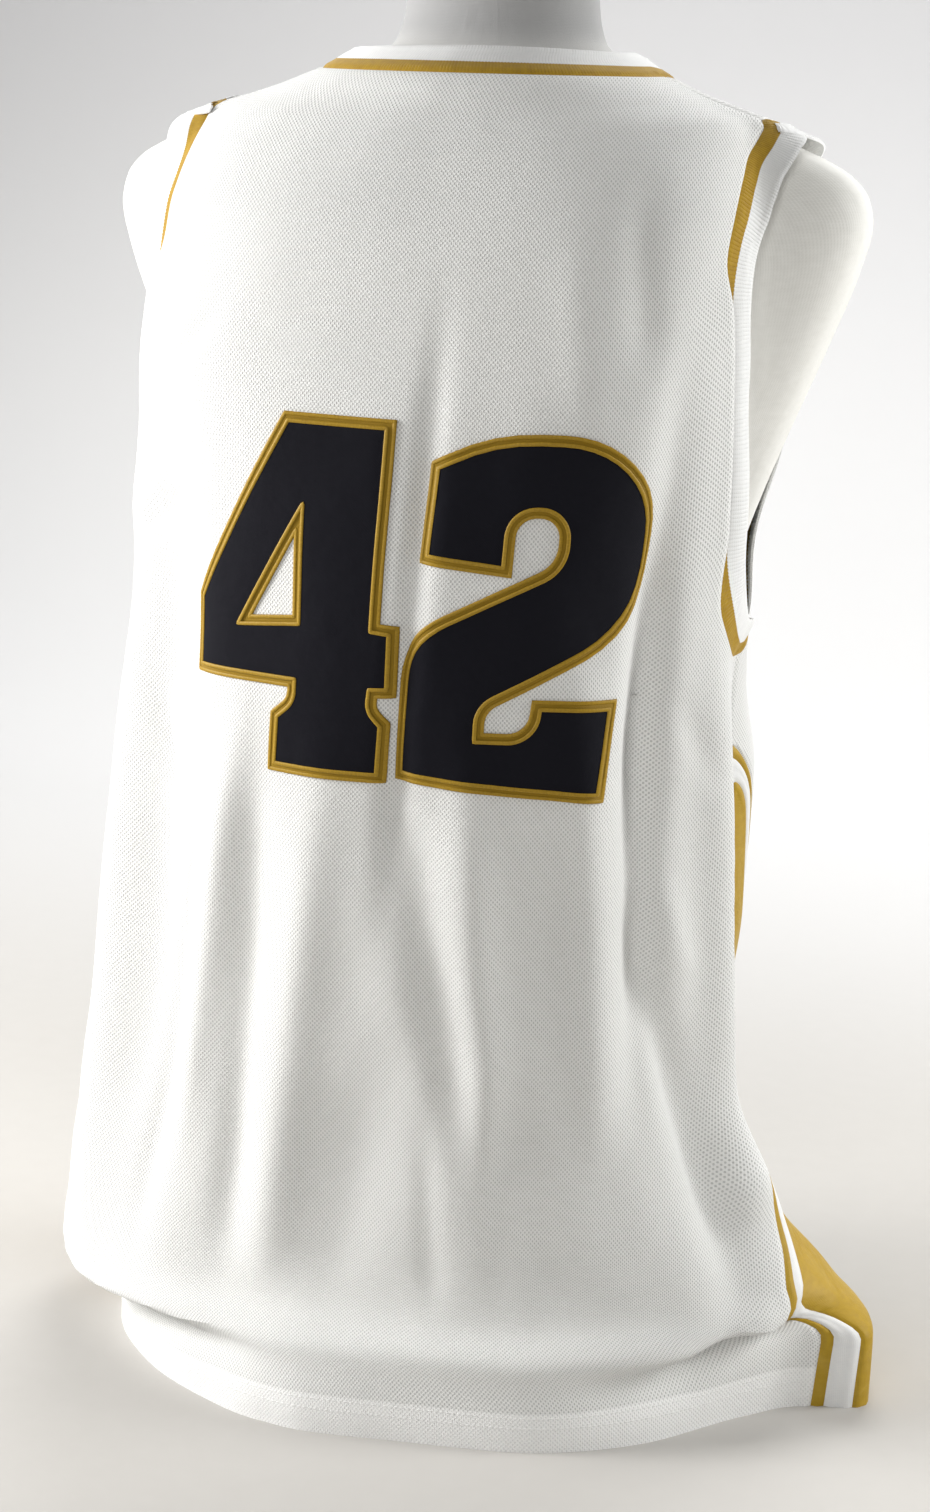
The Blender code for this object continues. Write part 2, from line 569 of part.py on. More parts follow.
def arch_line(arch, side, leg):
    """One leg of an insert outline from the hem to its apex; leg -1 is the back one."""
    share = np.array(INSERT_ROWS) / INSERT_ROWS[-1]
    up = share * arch.apex_up
    half = arch.half_width * (1 - share) ** ARCH_POWER
    around = insert_centre(up, side) + leg * half / half_length(up, side)
    return np.stack([side * around, up], axis=1)


def armhole_line(side, leg):
    """One half of an armhole from the underarm to the shoulder; leg -1 is the back."""
    line = [(side * 0.5, float(up_at_height(ARMHOLE[0].z)))]
    for row in ARMHOLE[1:-1]:
        up = up_at_height(row.z)
        _, y, length = (values[0] for values in half_outlines(np.array([up]), side))
        middle = np.interp(0.5 * length[-1], length, y)
        wanted = middle + row.back if leg < 0 else middle - row.front
        around = np.interp(wanted, y[::-1], length[::-1]) / length[-1]
        line.append((side * around, float(up)))
    line.append((side * 0.5, float(up_at_height(ARMHOLE[-1].z))))
    return np.array(line)


def side_line(side, leg):
    """Side edge of a body panel, from the hem to the shoulder."""
    seam = np.array([[side * 0.5, up] for up in SIDE_ROWS])
    return np.vstack([arch_line(INSERT_OUTLINE, side, leg), seam, armhole_line(side, leg)])


def shoulder_line(side, columns):
    """Shoulder seam from the armhole to the neck, without its ends."""
    start, end = up_at_height(ARMHOLE[-1].z), up_at_height(NECK_Z)
    up = np.linspace(start, end, columns + 1)[1:-1]
    return np.stack([np.full(len(up), side * 0.5), up], axis=1)


def neck_line(front):
    """Neckline of a panel from the left shoulder seam to the right one."""
    top = float(up_at_height(NECK_Z))
    if not front:
        around = np.linspace(-0.5, 0.5, BACK_NECK_COLUMNS + 1)
        return np.stack([around, np.full(len(around), top)], axis=1)
    right = [(0.5, top)]
    for row in FRONT_NECK[:-1]:
        up = up_at_height(row.z)
        x, _, length = (values[0] for values in half_outlines(np.array([up]), 1))
        half = len(x) // 2
        around = np.interp(row.half, -x[half:][::-1], length[half:][::-1]) / length[-1]
        right.append((around, float(up)))
    right = np.array(right)
    middle = [[1.0, float(up_at_height(FRONT_NECK[-1].z))]]
    return np.vstack([right * (-1, 1), middle, right[::-1]])


# ---------------------------------------------------------------- panel grids
def to_flat(line, front):
    """(around, up) to metres across the panel and up it."""
    around, up = line[..., 0], line[..., 1]
    length = np.where(around >= 0, half_length(up, 1), half_length(up, -1))
    across = np.sign(around) * (1 - np.abs(around)) * length if front else around * length
    return np.stack([across, up], axis=-1)


def from_flat(flat, front):
    """Metres across a panel and up it, to (around, up)."""
    across, up = flat[..., 0], flat[..., 1]
    length = np.where(across >= 0, half_length(up, 1), half_length(up, -1))
    part = across / length
    around = np.where(across >= 0, 1 - part, -1 - part) if front else part
    return np.stack([around, up], axis=-1)


def panel_grid(front):
    """Grid of (across, up) over a body panel: rows up it, columns left to right."""
    leg = 1 if front else -1
    columns = (FRONT_NECK_COLUMNS if front else BACK_NECK_COLUMNS) + 2 * SHOULDER_COLUMNS
    left, right = side_line(-1, leg), side_line(1, leg)
    top = np.vstack([
        shoulder_line(-1, SHOULDER_COLUMNS),
        neck_line(front),
        shoulder_line(1, SHOULDER_COLUMNS)[::-1],
    ])
    share = np.linspace(0, 1, columns + 1)[1:-1, None]
    ends = to_flat(np.stack([left[0], right[0]]), front)
    bottom = from_flat(ends[0] * (1 - share) + ends[1] * share, front)
    edge = np.vstack([bottom, right, top[::-1], left[::-1]])
    edge = offset_line(edge, -SEAM_GAP / 2 if front else SEAM_GAP / 2, closed=True)
    rows = len(right)
    edge[: columns - 1, 1] = 0.0
    edge[[columns - 1, -1], 1] = 0.0
    flat = to_flat(edge, front)
    right = flat[columns - 1 : columns - 1 + rows]
    left = flat[::-1][:rows]
    bottom = np.vstack([left[:1], flat[: columns - 1], right[:1]])
    top = np.vstack([left[-1:], flat[columns - 1 + rows : -rows][::-1], right[-1:]])
    s = np.linspace(0, 1, columns + 1)[None, :, None]
    rise = (left[:, 1] / left[-1, 1])[:, None, None]
    t = rise**TOP_REACH
    level = (1 - t) * bottom[None] + t * top[None]
    hug = 1 + SIDES_HUG * rise**8
    from_left, from_right = left[:, None] - level[:, :1], right[:, None] - level[:, -1:]
    return level + (1 - s) ** hug * from_left + s**hug * from_right


def strip_grid(outer, inner, side):
    """Grid of (around, up) over a strip between two arches, along its whole run."""
    legs = []
    for arch, way in ((outer, 1), (inner, -1)):
        back = arch_line(arch, side, -1)
        front = arch_line(arch, side, 1)
        line = np.vstack([back, front[:-1][::-1]])
        line[len(back) - 1, 0] = side * float(insert_centre(arch.apex_up, side))
        moved = offset_line(line, -way * side * SEAM_GAP / 2)
        moved[[0, -1], 1] = 0.0
        legs.append(moved)
    return np.stack(legs, axis=1)


def gold_grid(side):
    """Grid of (around, up) over the wide gold panel of an insert."""
    back, front = (arch_line(INSERT_GOLD, side, leg) for leg in (-1, 1))
    line = np.vstack([back, front[::-1]])
    count = len(back)
    line[count - 1 : count + 1, 0] = side * float(insert_centre(INSERT_GOLD.apex_up, side))
    line[count - 1, 0] -= side * 0.0006
    line[count, 0] += side * 0.0006
    line[count - 1 : count + 1, 1] -= 0.0015
    moved = offset_line(line, -side * SEAM_GAP / 2)
    moved[[0, -1], 1] = 0.0
    back, front = moved[:count], moved[count:][::-1]
    share = np.linspace(0, 1, GOLD_COLUMNS + 1)[None, :, None]
    return back[:, None] * (1 - share) + front[:, None] * share


# ---------------------------------------------------------------- meshes
def new_object(name, points, faces, material):
    """A named object from points and faces, with faces turned to point out."""
    mesh = bpy.data.meshes.new(name)
    work = bmesh.new()
    verts = [work.verts.new(point) for point in points]
    for face in faces:
        work.faces.new([verts[i] for i in face])
    bmesh.ops.recalc_face_normals(work, faces=work.faces)
    work.to_mesh(mesh)
    work.free()
    mesh.materials.append(bpy.data.materials[material])
    obj = bpy.data.objects.new(name, mesh)
    bpy.context.scene.collection.objects.link(obj)
    return obj


def grid_faces(rows, columns, start=0):
    """Triangles over a grid of points, all split along the same diagonal."""
    faces = []
    for j in range(rows - 1):
        for i in range(columns - 1):
            a = start + j * columns + i
            b, c, d = a + 1, a + columns + 1, a + columns
            faces += [(a, b, c), (a, c, d)]
    return faces


def rim_pairs(faces):
    """Edges of a patch that only one of its faces has, each in that face's order."""
    edges = set()
    for face in faces:
        for a, b in zip(face, face[1:] + face[:1]):
            if (b, a) in edges:
                edges.remove((b, a))
            else:
                edges.add((a, b))
    return sorted(edges)


def wall(name, inner, outer, patch, material):
    """A closed wall between two copies of a patch of triangles."""
    count = len(inner)
    faces = [face[::-1] for face in patch]
    faces += [tuple(i + count for i in face) for face in patch]
    for a, b in rim_pairs(patch):
        if inner[a][2] <= inner[b][2]:
            faces += [(a, b, b + count), (a, b + count, a + count)]
        else:
            faces += [(a, b, a + count), (b, b + count, a + count)]
    return new_object(name, np.vstack([inner, outer]), faces, material)


def cloth_wall(name, grid, material, thickness=CLOTH):
    """A wall of cloth over a grid of (around, up)."""
    flat = grid.reshape(-1, 2)
    inner = cloth_points(flat[:, 0], flat[:, 1])
    outer = inner + cloth_normals(flat[:, 0], flat[:, 1]) * thickness
    wall(name, inner, outer, grid_faces(*grid.shape[:2]), material)
    return inner, outer


def band_wall(name, seam, material):
    """A rib band from a closed seam line into the opening, its ribs raised outside."""
    edge = seam
    for _ in range(4):
        edge = offset_line(edge, BAND_WIDTH / 4, closed=True)
    seam = offset_line(seam, SEAM_GAP / 2, closed=True)
    coarse = []
    for line in (seam, edge):
        line = np.stack([wrap(line[:, 0]), line[:, 1]], axis=1)
        points = cloth_points(line[:, 0], line[:, 1])
        coarse.append((points, cloth_normals(line[:, 0], line[:, 1])))
    points, faces = [], []
    count = len(seam)
    coarse[1][0][:] += coarse[1][1] * BAND_STANDS_OFF
    for inner, _ in coarse:
        points += list(inner)
    fine_seam, fine_edge, corners = [], [], []
    for k in range(count):
        n = (k + 1) % count
        corners.append(len(fine_seam))
        length = np.linalg.norm(coarse[0][0][n] - coarse[0][0][k])
        ribs = max(1, round(length / RIB_PITCH))
        for step in range(2 * ribs):
            share = step / (2 * ribs)
            lift = BAND_CLOTH + (RIB_HEIGHT if step % 2 else 0.0)
            for (inner, out), fine in zip(coarse, (fine_seam, fine_edge)):
                base = inner[k] * (1 - share) + inner[n] * share
                fine.append(base + (out[k] * (1 - share) + out[n] * share) * lift)
    first_seam = len(points)
    first_edge = first_seam + len(fine_seam)
    points += fine_seam + fine_edge
    total = len(fine_seam)
    corners.append(total)
    for k in range(count):
        n = (k + 1) % count
        faces += [(k, count + n, n), (k, count + k, count + n)]
        middle = (corners[k] + corners[k + 1]) // 2
        for i in range(corners[k], corners[k + 1]):
            j = (i + 1) % total
            faces += [(first_seam + i, first_seam + j, first_edge + j)]
            faces += [(first_seam + i, first_edge + j, first_edge + i)]
            near = k if i < middle else n
            faces += [(near, first_seam + j, first_seam + i)]
            faces += [(count + near, first_edge + i, first_edge + j)]
        faces += [(k, n, first_seam + middle % total)]
        faces += [(count + n, count + k, first_edge + middle % total)]
    return new_object(name, points, faces, material)


# ---------------------------------------------------------------- numerals
def rounded_outline(corners):
    """Outline points in metres of a polygon with rounded corners."""
    points = []
    for k, corner in enumerate(corners):
        here = np.array([corner.x, corner.y], float)
        before = np.array([corners[k - 1].x, corners[k - 1].y], float) - here
        after = corners[(k + 1) % len(corners)]
        after = np.array([after.x, after.y], float) - here
        before /= np.linalg.norm(before)
        after /= np.linalg.norm(after)
        if not corner.radius:
            points.append(here)
            continue
        half = math.acos(float(np.clip(before @ after, -1, 1))) / 2
        reach = corner.radius / math.tan(half)
        middle = (before + after) / np.linalg.norm(before + after)
        middle = here + middle * corner.radius / math.sin(half)
        start, end = here + before * reach - middle, here + after * reach - middle
        sweep = math.pi - 2 * half
        steps = max(2, math.ceil(sweep / ARC_STEP))
        turn = math.copysign(1, start[0] * end[1] - start[1] * end[0])
        for step in range(steps + 1):
            angle = turn * sweep * step / steps
            spin = np.array([
                [math.cos(angle), -math.sin(angle)], [math.sin(angle), math.cos(angle)],
            ])
            points.append(middle + spin @ start)
    return np.array(points) / 1000.0


def inset(points, distance):
    """A closed outline moved to its left by a distance, with mitred corners."""
    before = points - np.roll(points, 1, axis=0)
    after = np.roll(before, -1, axis=0)
    sideways = []
    for run in (before, after):
        run = run / np.linalg.norm(run, axis=1, keepdims=True)
        sideways.append(np.stack([-run[:, 1], run[:, 0]], axis=1))
    scale = 1 + (sideways[0] * sideways[1]).sum(axis=1)
    return points + distance * (sideways[0] + sideways[1]) / scale[:, None]


def inside(point, outline):
    """Whether a point lies within a closed outline."""
    x, y = point
    crossings = 0
    for (x0, y0), (x1, y1) in zip(outline, np.roll(outline, -1, axis=0)):
        if (y0 > y) != (y1 > y) and x < x0 + (y - y0) * (x1 - x0) / (y1 - y0):
            crossings += 1
    return crossings % 2 == 1


def numeral_layer(name, loops, panel, lift, material):
    """A twill layer cut from the panel's own facets, moved out from them."""
    grid, inner, outer = panel
    rows, columns = grid.shape[:2]
    flat = grid.reshape(-1, 2)
    low, high = loops[0].min(axis=0), loops[0].max(axis=0)
    facets = []
    for face in grid_faces(rows, columns):
        corner = flat[list(face)]
        if (corner.max(axis=0) > low).all() and (corner.min(axis=0) < high).all():
            facets.append(face)
    used = sorted({i for face in facets for i in face})
    place = {i: k for k, i in enumerate(used)}
    spots = [tuple(flat[i]) for i in used]
    edges = {tuple(sorted((place[a], place[b]))) for f in facets for a, b in zip(f, f[1:] + f[:1])}
    edges = sorted(edges)
    for loop in loops:
        first = len(spots)
        spots += [tuple(point) for point in loop]
        edges += [(first + k, first + (k + 1) % len(loop)) for k in range(len(loop))]
    cut = geometry.delaunay_2d_cdt([Vector(spot) for spot in spots], edges, [], 0, 1e-6)
    places = [np.array(spot) for spot in cut[0]]
    kept = []
    for face in cut[2]:
        middle = sum(places[i] for i in face) / 3
        if inside(middle, loops[0]) and not any(inside(middle, loop) for loop in loops[1:]):
            kept.append(tuple(face))
    numbers = sorted({i for face in kept for i in face})
    order = {i: k for k, i in enumerate(numbers)}
    under, over = [], []
    for i in numbers:
        point, way = on_facets(places[i], facets, flat, inner, outer)
        under.append(point + way * lift)
        over.append(point + way * (lift + TWILL))
    patch = [tuple(order[i] for i in face) for face in kept]
    return wall(name, np.array(under), np.array(over), patch, material)


def on_facets(spot, facets, flat, inner, outer):
    """Place on the panel's inner facets at a flat spot, and the way out there."""
    best = None
    for face in facets:
        a, b, c = (flat[i] for i in face)
        whole = (b[0] - a[0]) * (c[1] - a[1]) - (b[1] - a[1]) * (c[0] - a[0])
        u = ((spot[0] - a[0]) * (c[1] - a[1]) - (spot[1] - a[1]) * (c[0] - a[0])) / whole
        v = ((b[0] - a[0]) * (spot[1] - a[1]) - (b[1] - a[1]) * (spot[0] - a[0])) / whole
        worst = min(u, v, 1 - u - v)
        if best is None or worst > best[0]:
            best = (worst, face, u, v)
        if worst >= 0:
            break
    _, face, u, v = best
    a, b, c = face
    weights = (1 - u - v, u, v)
    point = sum(w * inner[i] for w, i in zip(weights, (a, b, c)))
    way = sum(w * (outer[i] - inner[i]) for w, i in zip(weights, (a, b, c))) / CLOTH
    return point, way


def numeral(name, outlines, left_edge, drop, panel):
    """Both twill layers of one numeral, its left edge at a place across the panel."""
    def place(points):
        across = left_edge + points[:, 0] + NUMBER_LEAN * points[:, 1]
        return np.stack([across, NUMBER_UP - drop + points[:, 1]], axis=1)

    loops = [rounded_outline(corners) for corners in outlines]
    base = [place(loop) for loop in loops]
    top = [place(inset(loops[0], TWILL_BORDER))]
    top += [place(inset(loop, -TWILL_BORDER)) for loop in loops[1:]]
    lift = CLOTH + SEAM_GAP
    numeral_layer(name + "_base", base, panel, lift, "gold_twill")
    lift += TWILL + SEAM_GAP
    numeral_layer(name + "_top", top, panel, lift, "dark_twill")


# ---------------------------------------------------------------- dress form
def form_ring(z, slope=0.0, rise=0.0):
    """Points of one level cut through the form, or of one that slopes."""
    *columns, sway = [read_table(FORM, "z", name, z) for name in Cut._fields[1:]]
    turn = 2 * math.pi * (np.arange(FORM_SEGMENTS) + 0.5) / FORM_SEGMENTS
    turn += 0.16 * np.sin(2 * turn)
    x, y = section(turn, *columns)
    return [tuple(point) for point in np.stack([x + sway, y, z + rise + slope * y], axis=1)]


def loft(name, rings, material):
    """A closed solid through rings of points, with flat ends."""
    count = len(rings[0])
    points = [point for ring in rings for point in ring]
    faces = [tuple(range(count)), tuple(range(len(points) - count, len(points)))]
    for j in range(len(rings) - 1):
        for k in range(count):
            a, b = j * count + k, j * count + (k + 1) % count
            faces += [(a, b, b + count), (a, b + count, a + count)]
    return new_object(name, points, faces, material)


# ---------------------------------------------------------------- the whole
def build():
    for obj in list(bpy.data.objects):
        bpy.data.objects.remove(obj)
    for name, (colour, roughness, metallic) in MATERIALS.items():
        material = bpy.data.materials.new(name)
        material.use_nodes = True
        shader = material.node_tree.nodes["Principled BSDF"]
        shader.inputs["Base Color"].default_value = colour
        shader.inputs["Roughness"].default_value = roughness
        shader.inputs["Metallic"].default_value = metallic

    back_grid, front_grid = panel_grid(False), panel_grid(True)
    inner, outer = cloth_wall("back_panel", from_flat(back_grid, False), "white_knit")
    cloth_wall("front_panel", from_flat(front_grid, True), "white_knit")

    digits = [("four", (FOUR, FOUR_EYE), 0.0), ("two", (TWO,), DIGIT_DROP)]
    width = sum(max(c.x for c in outlines[0]) / 1000 for _, outlines, _ in digits) + DIGIT_GAP
    edge = NUMBER_ACROSS - width / 2 - NUMBER_LEAN * NUMBER_HEIGHT / 2
    for name, outlines, drop in digits:
        numeral("number_" + name, outlines, edge, drop, (back_grid, inner, outer))
        edge += max(c.x for c in outlines[0]) / 1000 + DIGIT_GAP

    for side, word in ((1, "right"), (-1, "left")):
        cloth_wall(f"side_gold_{word}", gold_grid(side), "gold_knit")
        cloth_wall(f"side_white_{word}", strip_grid(INSERT_WHITE, INSERT_GOLD, side), "white_knit")
        cloth_wall(f"side_edge_{word}", strip_grid(INSERT_OUTLINE, INSERT_WHITE, side), "gold_knit")
        hole = np.vstack([armhole_line(side, -1), armhole_line(side, 1)[::-1][1:-1]])
        band_wall(f"armhole_band_{word}", hole[::-1] if side > 0 else hole, "white_rib")

    neck = np.vstack([
        neck_line(False), neck_line(True)[::-1][1:-1],
    ])
    band_wall("neck_band", neck, "white_rib")

    rings = [form_ring(cut.z) for cut in FORM[:-1]]
    rings.append(form_ring(FORM[-1].z, CAP_SLOPE))
    loft("dress_form", rings, "form_cover")
    cap = [form_ring(FORM[-1].z, CAP_SLOPE, rise) for rise in (SEAM_GAP * 1.2, CAP_THICKNESS)]
    loft("neck_cap", cap, "neck_plate")
    centre_on_origin()


def centre_on_origin():
    """Moves every mesh so that the origin is under the middle of the whole."""
    meshes = [obj.data for obj in bpy.data.objects if obj.type == "MESH"]
    points = np.array([vert.co for mesh in meshes for vert in mesh.vertices])
    low, high = points.min(axis=0), points.max(axis=0)
    shift = np.array([-(low[0] + high[0]) / 2, -(low[1] + high[1]) / 2, -low[2]])
    for mesh in meshes:
        for vert in mesh.vertices:
            vert.co = (np.array(vert.co) + shift).tolist()
    print("moved by", shift.round(5), "size", (high - low).round(4))


build()
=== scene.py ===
"""A sleeveless basketball jersey on an armless dress form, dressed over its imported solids.

Metres, +Z up, the wearer's front towards -Y and right side towards -X.  The jersey is
described on one smooth surface.  A place on it has two cloth coordinates: around, which
is 0 at the centre back, 0.5 down the wearer's right side and -0.5 down the left, and up,
the length of cloth above the hem.
"""

import json
import math
from collections import namedtuple
from functools import partial

import bpy
import numpy as np
from mathutils import Matrix, Vector, geometry

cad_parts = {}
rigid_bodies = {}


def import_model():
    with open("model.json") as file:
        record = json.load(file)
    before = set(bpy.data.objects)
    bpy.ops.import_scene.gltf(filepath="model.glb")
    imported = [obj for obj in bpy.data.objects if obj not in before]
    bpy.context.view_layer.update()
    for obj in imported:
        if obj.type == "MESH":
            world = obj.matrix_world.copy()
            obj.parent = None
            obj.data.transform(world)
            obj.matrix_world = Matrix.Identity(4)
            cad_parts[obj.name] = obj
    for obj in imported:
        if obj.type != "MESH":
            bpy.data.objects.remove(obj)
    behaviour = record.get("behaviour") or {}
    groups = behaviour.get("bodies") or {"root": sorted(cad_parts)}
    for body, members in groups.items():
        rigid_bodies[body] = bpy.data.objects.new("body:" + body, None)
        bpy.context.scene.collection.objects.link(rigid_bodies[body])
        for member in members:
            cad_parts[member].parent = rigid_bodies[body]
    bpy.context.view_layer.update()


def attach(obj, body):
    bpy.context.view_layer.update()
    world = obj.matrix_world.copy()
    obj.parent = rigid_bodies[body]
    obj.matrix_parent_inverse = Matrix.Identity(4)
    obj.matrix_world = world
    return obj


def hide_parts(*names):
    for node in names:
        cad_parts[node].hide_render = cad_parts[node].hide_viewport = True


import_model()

# ---- driving sizes
ORIGIN = np.array([-0.00086, -0.00698, 0.0])  # the part's origin lies under its middle
CLOTH = 0.0009  # knit of the panels
BAND_CLOTH = 0.0013  # rib of the bands
TWILL = 0.0006  # each layer of a numeral
SEAM_GAP = 0.0003  # between pieces that are sewn together
EASE = 0.0060  # room between the form and the cloth that lies on it
LIFT = 0.0030  # how much higher the cloth lies over the shoulders
GIRTH = 1.06  # of the jersey, about
BAND_WIDTH = 0.023
BAND_ROWS = 14  # points across a band
STRIPE = 0.40  # share of a band's width that is gold, next to the panels
RIB_PITCH = 0.0022
RIB_HEIGHT = 0.0004
RIB_POINTS = 4  # points from one rib to the next
OVERHANG = 0.009  # of the back panel's rolled edge over the armhole bands
SHOULDER_FRONT, SHOULDER_BACK = 3 / 18, 3 / 26  # share of a panel's columns in a shoulder seam
TOP_REACH = 4  # how little the neckline bends the rows of points under it
SIDES_HUG = 4  # how little the armholes bend the columns of points near the top
NUMBER_HEIGHT = 0.203
NUMBER_UP = 0.442  # cloth from the hem to the foot of the first digit
NUMBER_ACROSS = 0.0015  # of the number's middle
NUMBER_LEAN = 0.010  # towards the wearer's right, for each metre up
TWILL_BORDER = 0.0052  # of the lower layer, round the upper one
DIGIT_GAP = 0.002
DIGIT_DROP = 0.005  # of the second digit
TWILL_SPACING = 0.0033  # between the points inside a layer
TWILL_EDGE_SPACING = 0.0030  # and those along its edges
TWILL_ROUNDING = 0.00025  # how much thinner a layer is at its edges
SATIN_WIDTH, SATIN_PITCH, SATIN_HEIGHT = 0.0022, 0.0012, 0.00055  # of a numeral's close stitches
SATIN_INSET = 0.0011  # of the stitches' middle from the lower layer's edge
HEM_STITCH_ROWS = (0.0150, 0.0210)  # up the cloth, of the double row over the hem
HEM_STITCH = 0.0034  # from one stitch to the next
HEM_STITCH_SHARE = 0.74  # of that, which the stitch takes up
HEM_THREAD = 0.00045  # half its width, and its height

# ---- dress form
Cut = namedtuple("Cut", "z half back front square arm arm_depth sway")
FORM = [Cut(*row) for row in (
    (0.0000, 0.1500, 0.1080, 0.0920, 2.3, 0.1000, 0.030, 0.0000),
    (0.0600, 0.1560, 0.1140, 0.0980, 2.3, 0.1000, 0.030, 0.0000),
    (0.1600, 0.1500, 0.1060, 0.1020, 2.2, 0.1000, 0.030, 0.0000),
    (0.2700, 0.1400, 0.0940, 0.1000, 2.2, 0.1000, 0.030, 0.0000),
    (0.3800, 0.1450, 0.1000, 0.1080, 2.3, 0.1000, 0.030, 0.0000),
    (0.4800, 0.1515, 0.1115, 0.1175, 2.4, 0.1200, 0.030, 0.0000),
    (0.5450, 0.1575, 0.1215, 0.1235, 2.6, 0.1600, 0.034, 0.0000),
    (0.6000, 0.1615, 0.1275, 0.1215, 2.9, 0.1860, 0.048, 0.0000),
    (0.6400, 0.1625, 0.1275, 0.1135, 3.0, 0.2030, 0.055, 0.0000),
    (0.6800, 0.1625, 0.1225, 0.1005, 3.0, 0.2180, 0.056, 0.0000),
    (0.7080, 0.1615, 0.1155, 0.0875, 3.0, 0.2245, 0.052, 0.0000),
    (0.7220, 0.1595, 0.1095, 0.0805, 2.9, 0.2215, 0.047, 0.0000),
    (0.7330, 0.1575, 0.1045, 0.0755, 2.8, 0.2130, 0.042, 0.0000),
    (0.7425, 0.1555, 0.0995, 0.0635, 2.6, 0.1970, 0.037, 0.0000),
    (0.7510, 0.1535, 0.0935, 0.0550, 2.4, 0.1760, 0.032, 0.0000),
    (0.7590, 0.1485, 0.0885, 0.0510, 2.3, 0.1570, 0.028, 0.0000),
    (0.7670, 0.1275, 0.0835, 0.0465, 2.1, 0.1300, 0.024, -0.0015),
    (0.7770, 0.1045, 0.0785, 0.0445, 2.1, 0.0900, 0.020, -0.0030),
    (0.7840, 0.0885, 0.0720, 0.0445, 2.0, 0.0700, 0.020, -0.0040),
    (0.7890, 0.0765, 0.0615, 0.0475, 2.0, 0.0600, 0.020, -0.0040),
    (0.7960, 0.0690, 0.0530, 0.0610, 2.0, 0.0500, 0.020, -0.0055),
    (0.8040, 0.0610, 0.0450, 0.0640, 2.0, 0.0400, 0.020, -0.0055),
    (0.8220, 0.0560, 0.0370, 0.0700, 2.0, 0.0400, 0.020, -0.0055),
    (0.8515, 0.0540, 0.0320, 0.0760, 2.0, 0.0400, 0.020, -0.0055),
)]
ARM_FORWARD = 0.012  # how far the stubs' middle lies before the trunk's
STUB_SQUARE = 3.2
JOIN = 14  # the higher, the sharper the join of trunk and stubs
FORM_RADIUS = 0.16  # of the trunk, about
CAP_THICKNESS = 0.010
CAP_GAP = 0.0004  # under the plate
CAP_SLOPE = 0.30  # how far the neck's end rises to the back, for each metre

# ---- hanging cloth
Ring = namedtuple("Ring", "up z left right back front square sway arm arm_depth")
HANGING = [Ring(*row) for row in (
    (0.000, 0.000, 0.243, 0.216, 0.150, 0.128, 2.1, 0.008, 0.10, 0.03),
    (0.044, 0.044, 0.244, 0.218, 0.150, 0.128, 2.1, 0.008, 0.10, 0.03),
    (0.056, 0.050, 0.252, 0.220, 0.148, 0.128, 2.1, 0.008, 0.10, 0.03),
    (0.070, 0.053, 0.255, 0.222, 0.142, 0.128, 2.1, 0.008, 0.10, 0.03),
    (0.085, 0.056, 0.256, 0.223, 0.137, 0.128, 2.1, 0.008, 0.10, 0.03),
    (0.100, 0.064, 0.255, 0.222, 0.134, 0.128, 2.1, 0.008, 0.10, 0.03),
    (0.120, 0.081, 0.253, 0.217, 0.132, 0.129, 2.1, 0.008, 0.10, 0.03),
    (0.150, 0.108, 0.249, 0.204, 0.131, 0.130, 2.1, 0.008, 0.10, 0.03),
    (0.200, 0.157, 0.240, 0.180, 0.131, 0.132, 2.1, 0.007, 0.10, 0.03),
    (0.260, 0.216, 0.229, 0.167, 0.134, 0.135, 2.1, 0.006, 0.10, 0.03),
    (0.340, 0.296, 0.219, 0.166, 0.139, 0.138, 2.1, 0.005, 0.10, 0.03),
    (0.420, 0.376, 0.214, 0.168, 0.144, 0.142, 2.1, 0.004, 0.10, 0.03),
    (0.500, 0.456, 0.207, 0.169, 0.148, 0.145, 2.1, 0.002, 0.12, 0.03),
    (0.560, 0.516, 0.203, 0.169, 0.147, 0.146, 2.2, 0.001, 0.14, 0.03),
    (0.620, 0.576, 0.198, 0.170, 0.142, 0.139, 2.5, 0.000, 0.17, 0.04),
)]
LYING_FROM_Z, LYING_TO_Z = 0.61, 0.83  # heights between which the jersey lies on the form
SHOULDER_Z, SHOULDER_RISE = 0.735, 0.015  # where the shoulders start to lift it, and over what
OVER_BUCKLE = 0.12  # cloth above which height always grows with it

# How far each side of the jersey stands off the trunk there; it has slipped left.
Stand = namedtuple("Stand", "z left right")
STANDS = [Stand(*row) for row in (
    (0.610, 0.029, 0.002),
    (0.640, 0.024, 0.000),
    (0.680, 0.018, 0.000),
    (0.708, 0.014, 0.000),
    (0.744, 0.009, 0.000),
    (0.759, 0.004, 0.001),
    (0.767, 0.007, 0.004),
    (0.789, 0.006, 0.004),
    (0.798, 0.000, 0.000),
    (0.830, 0.000, 0.000),
)]

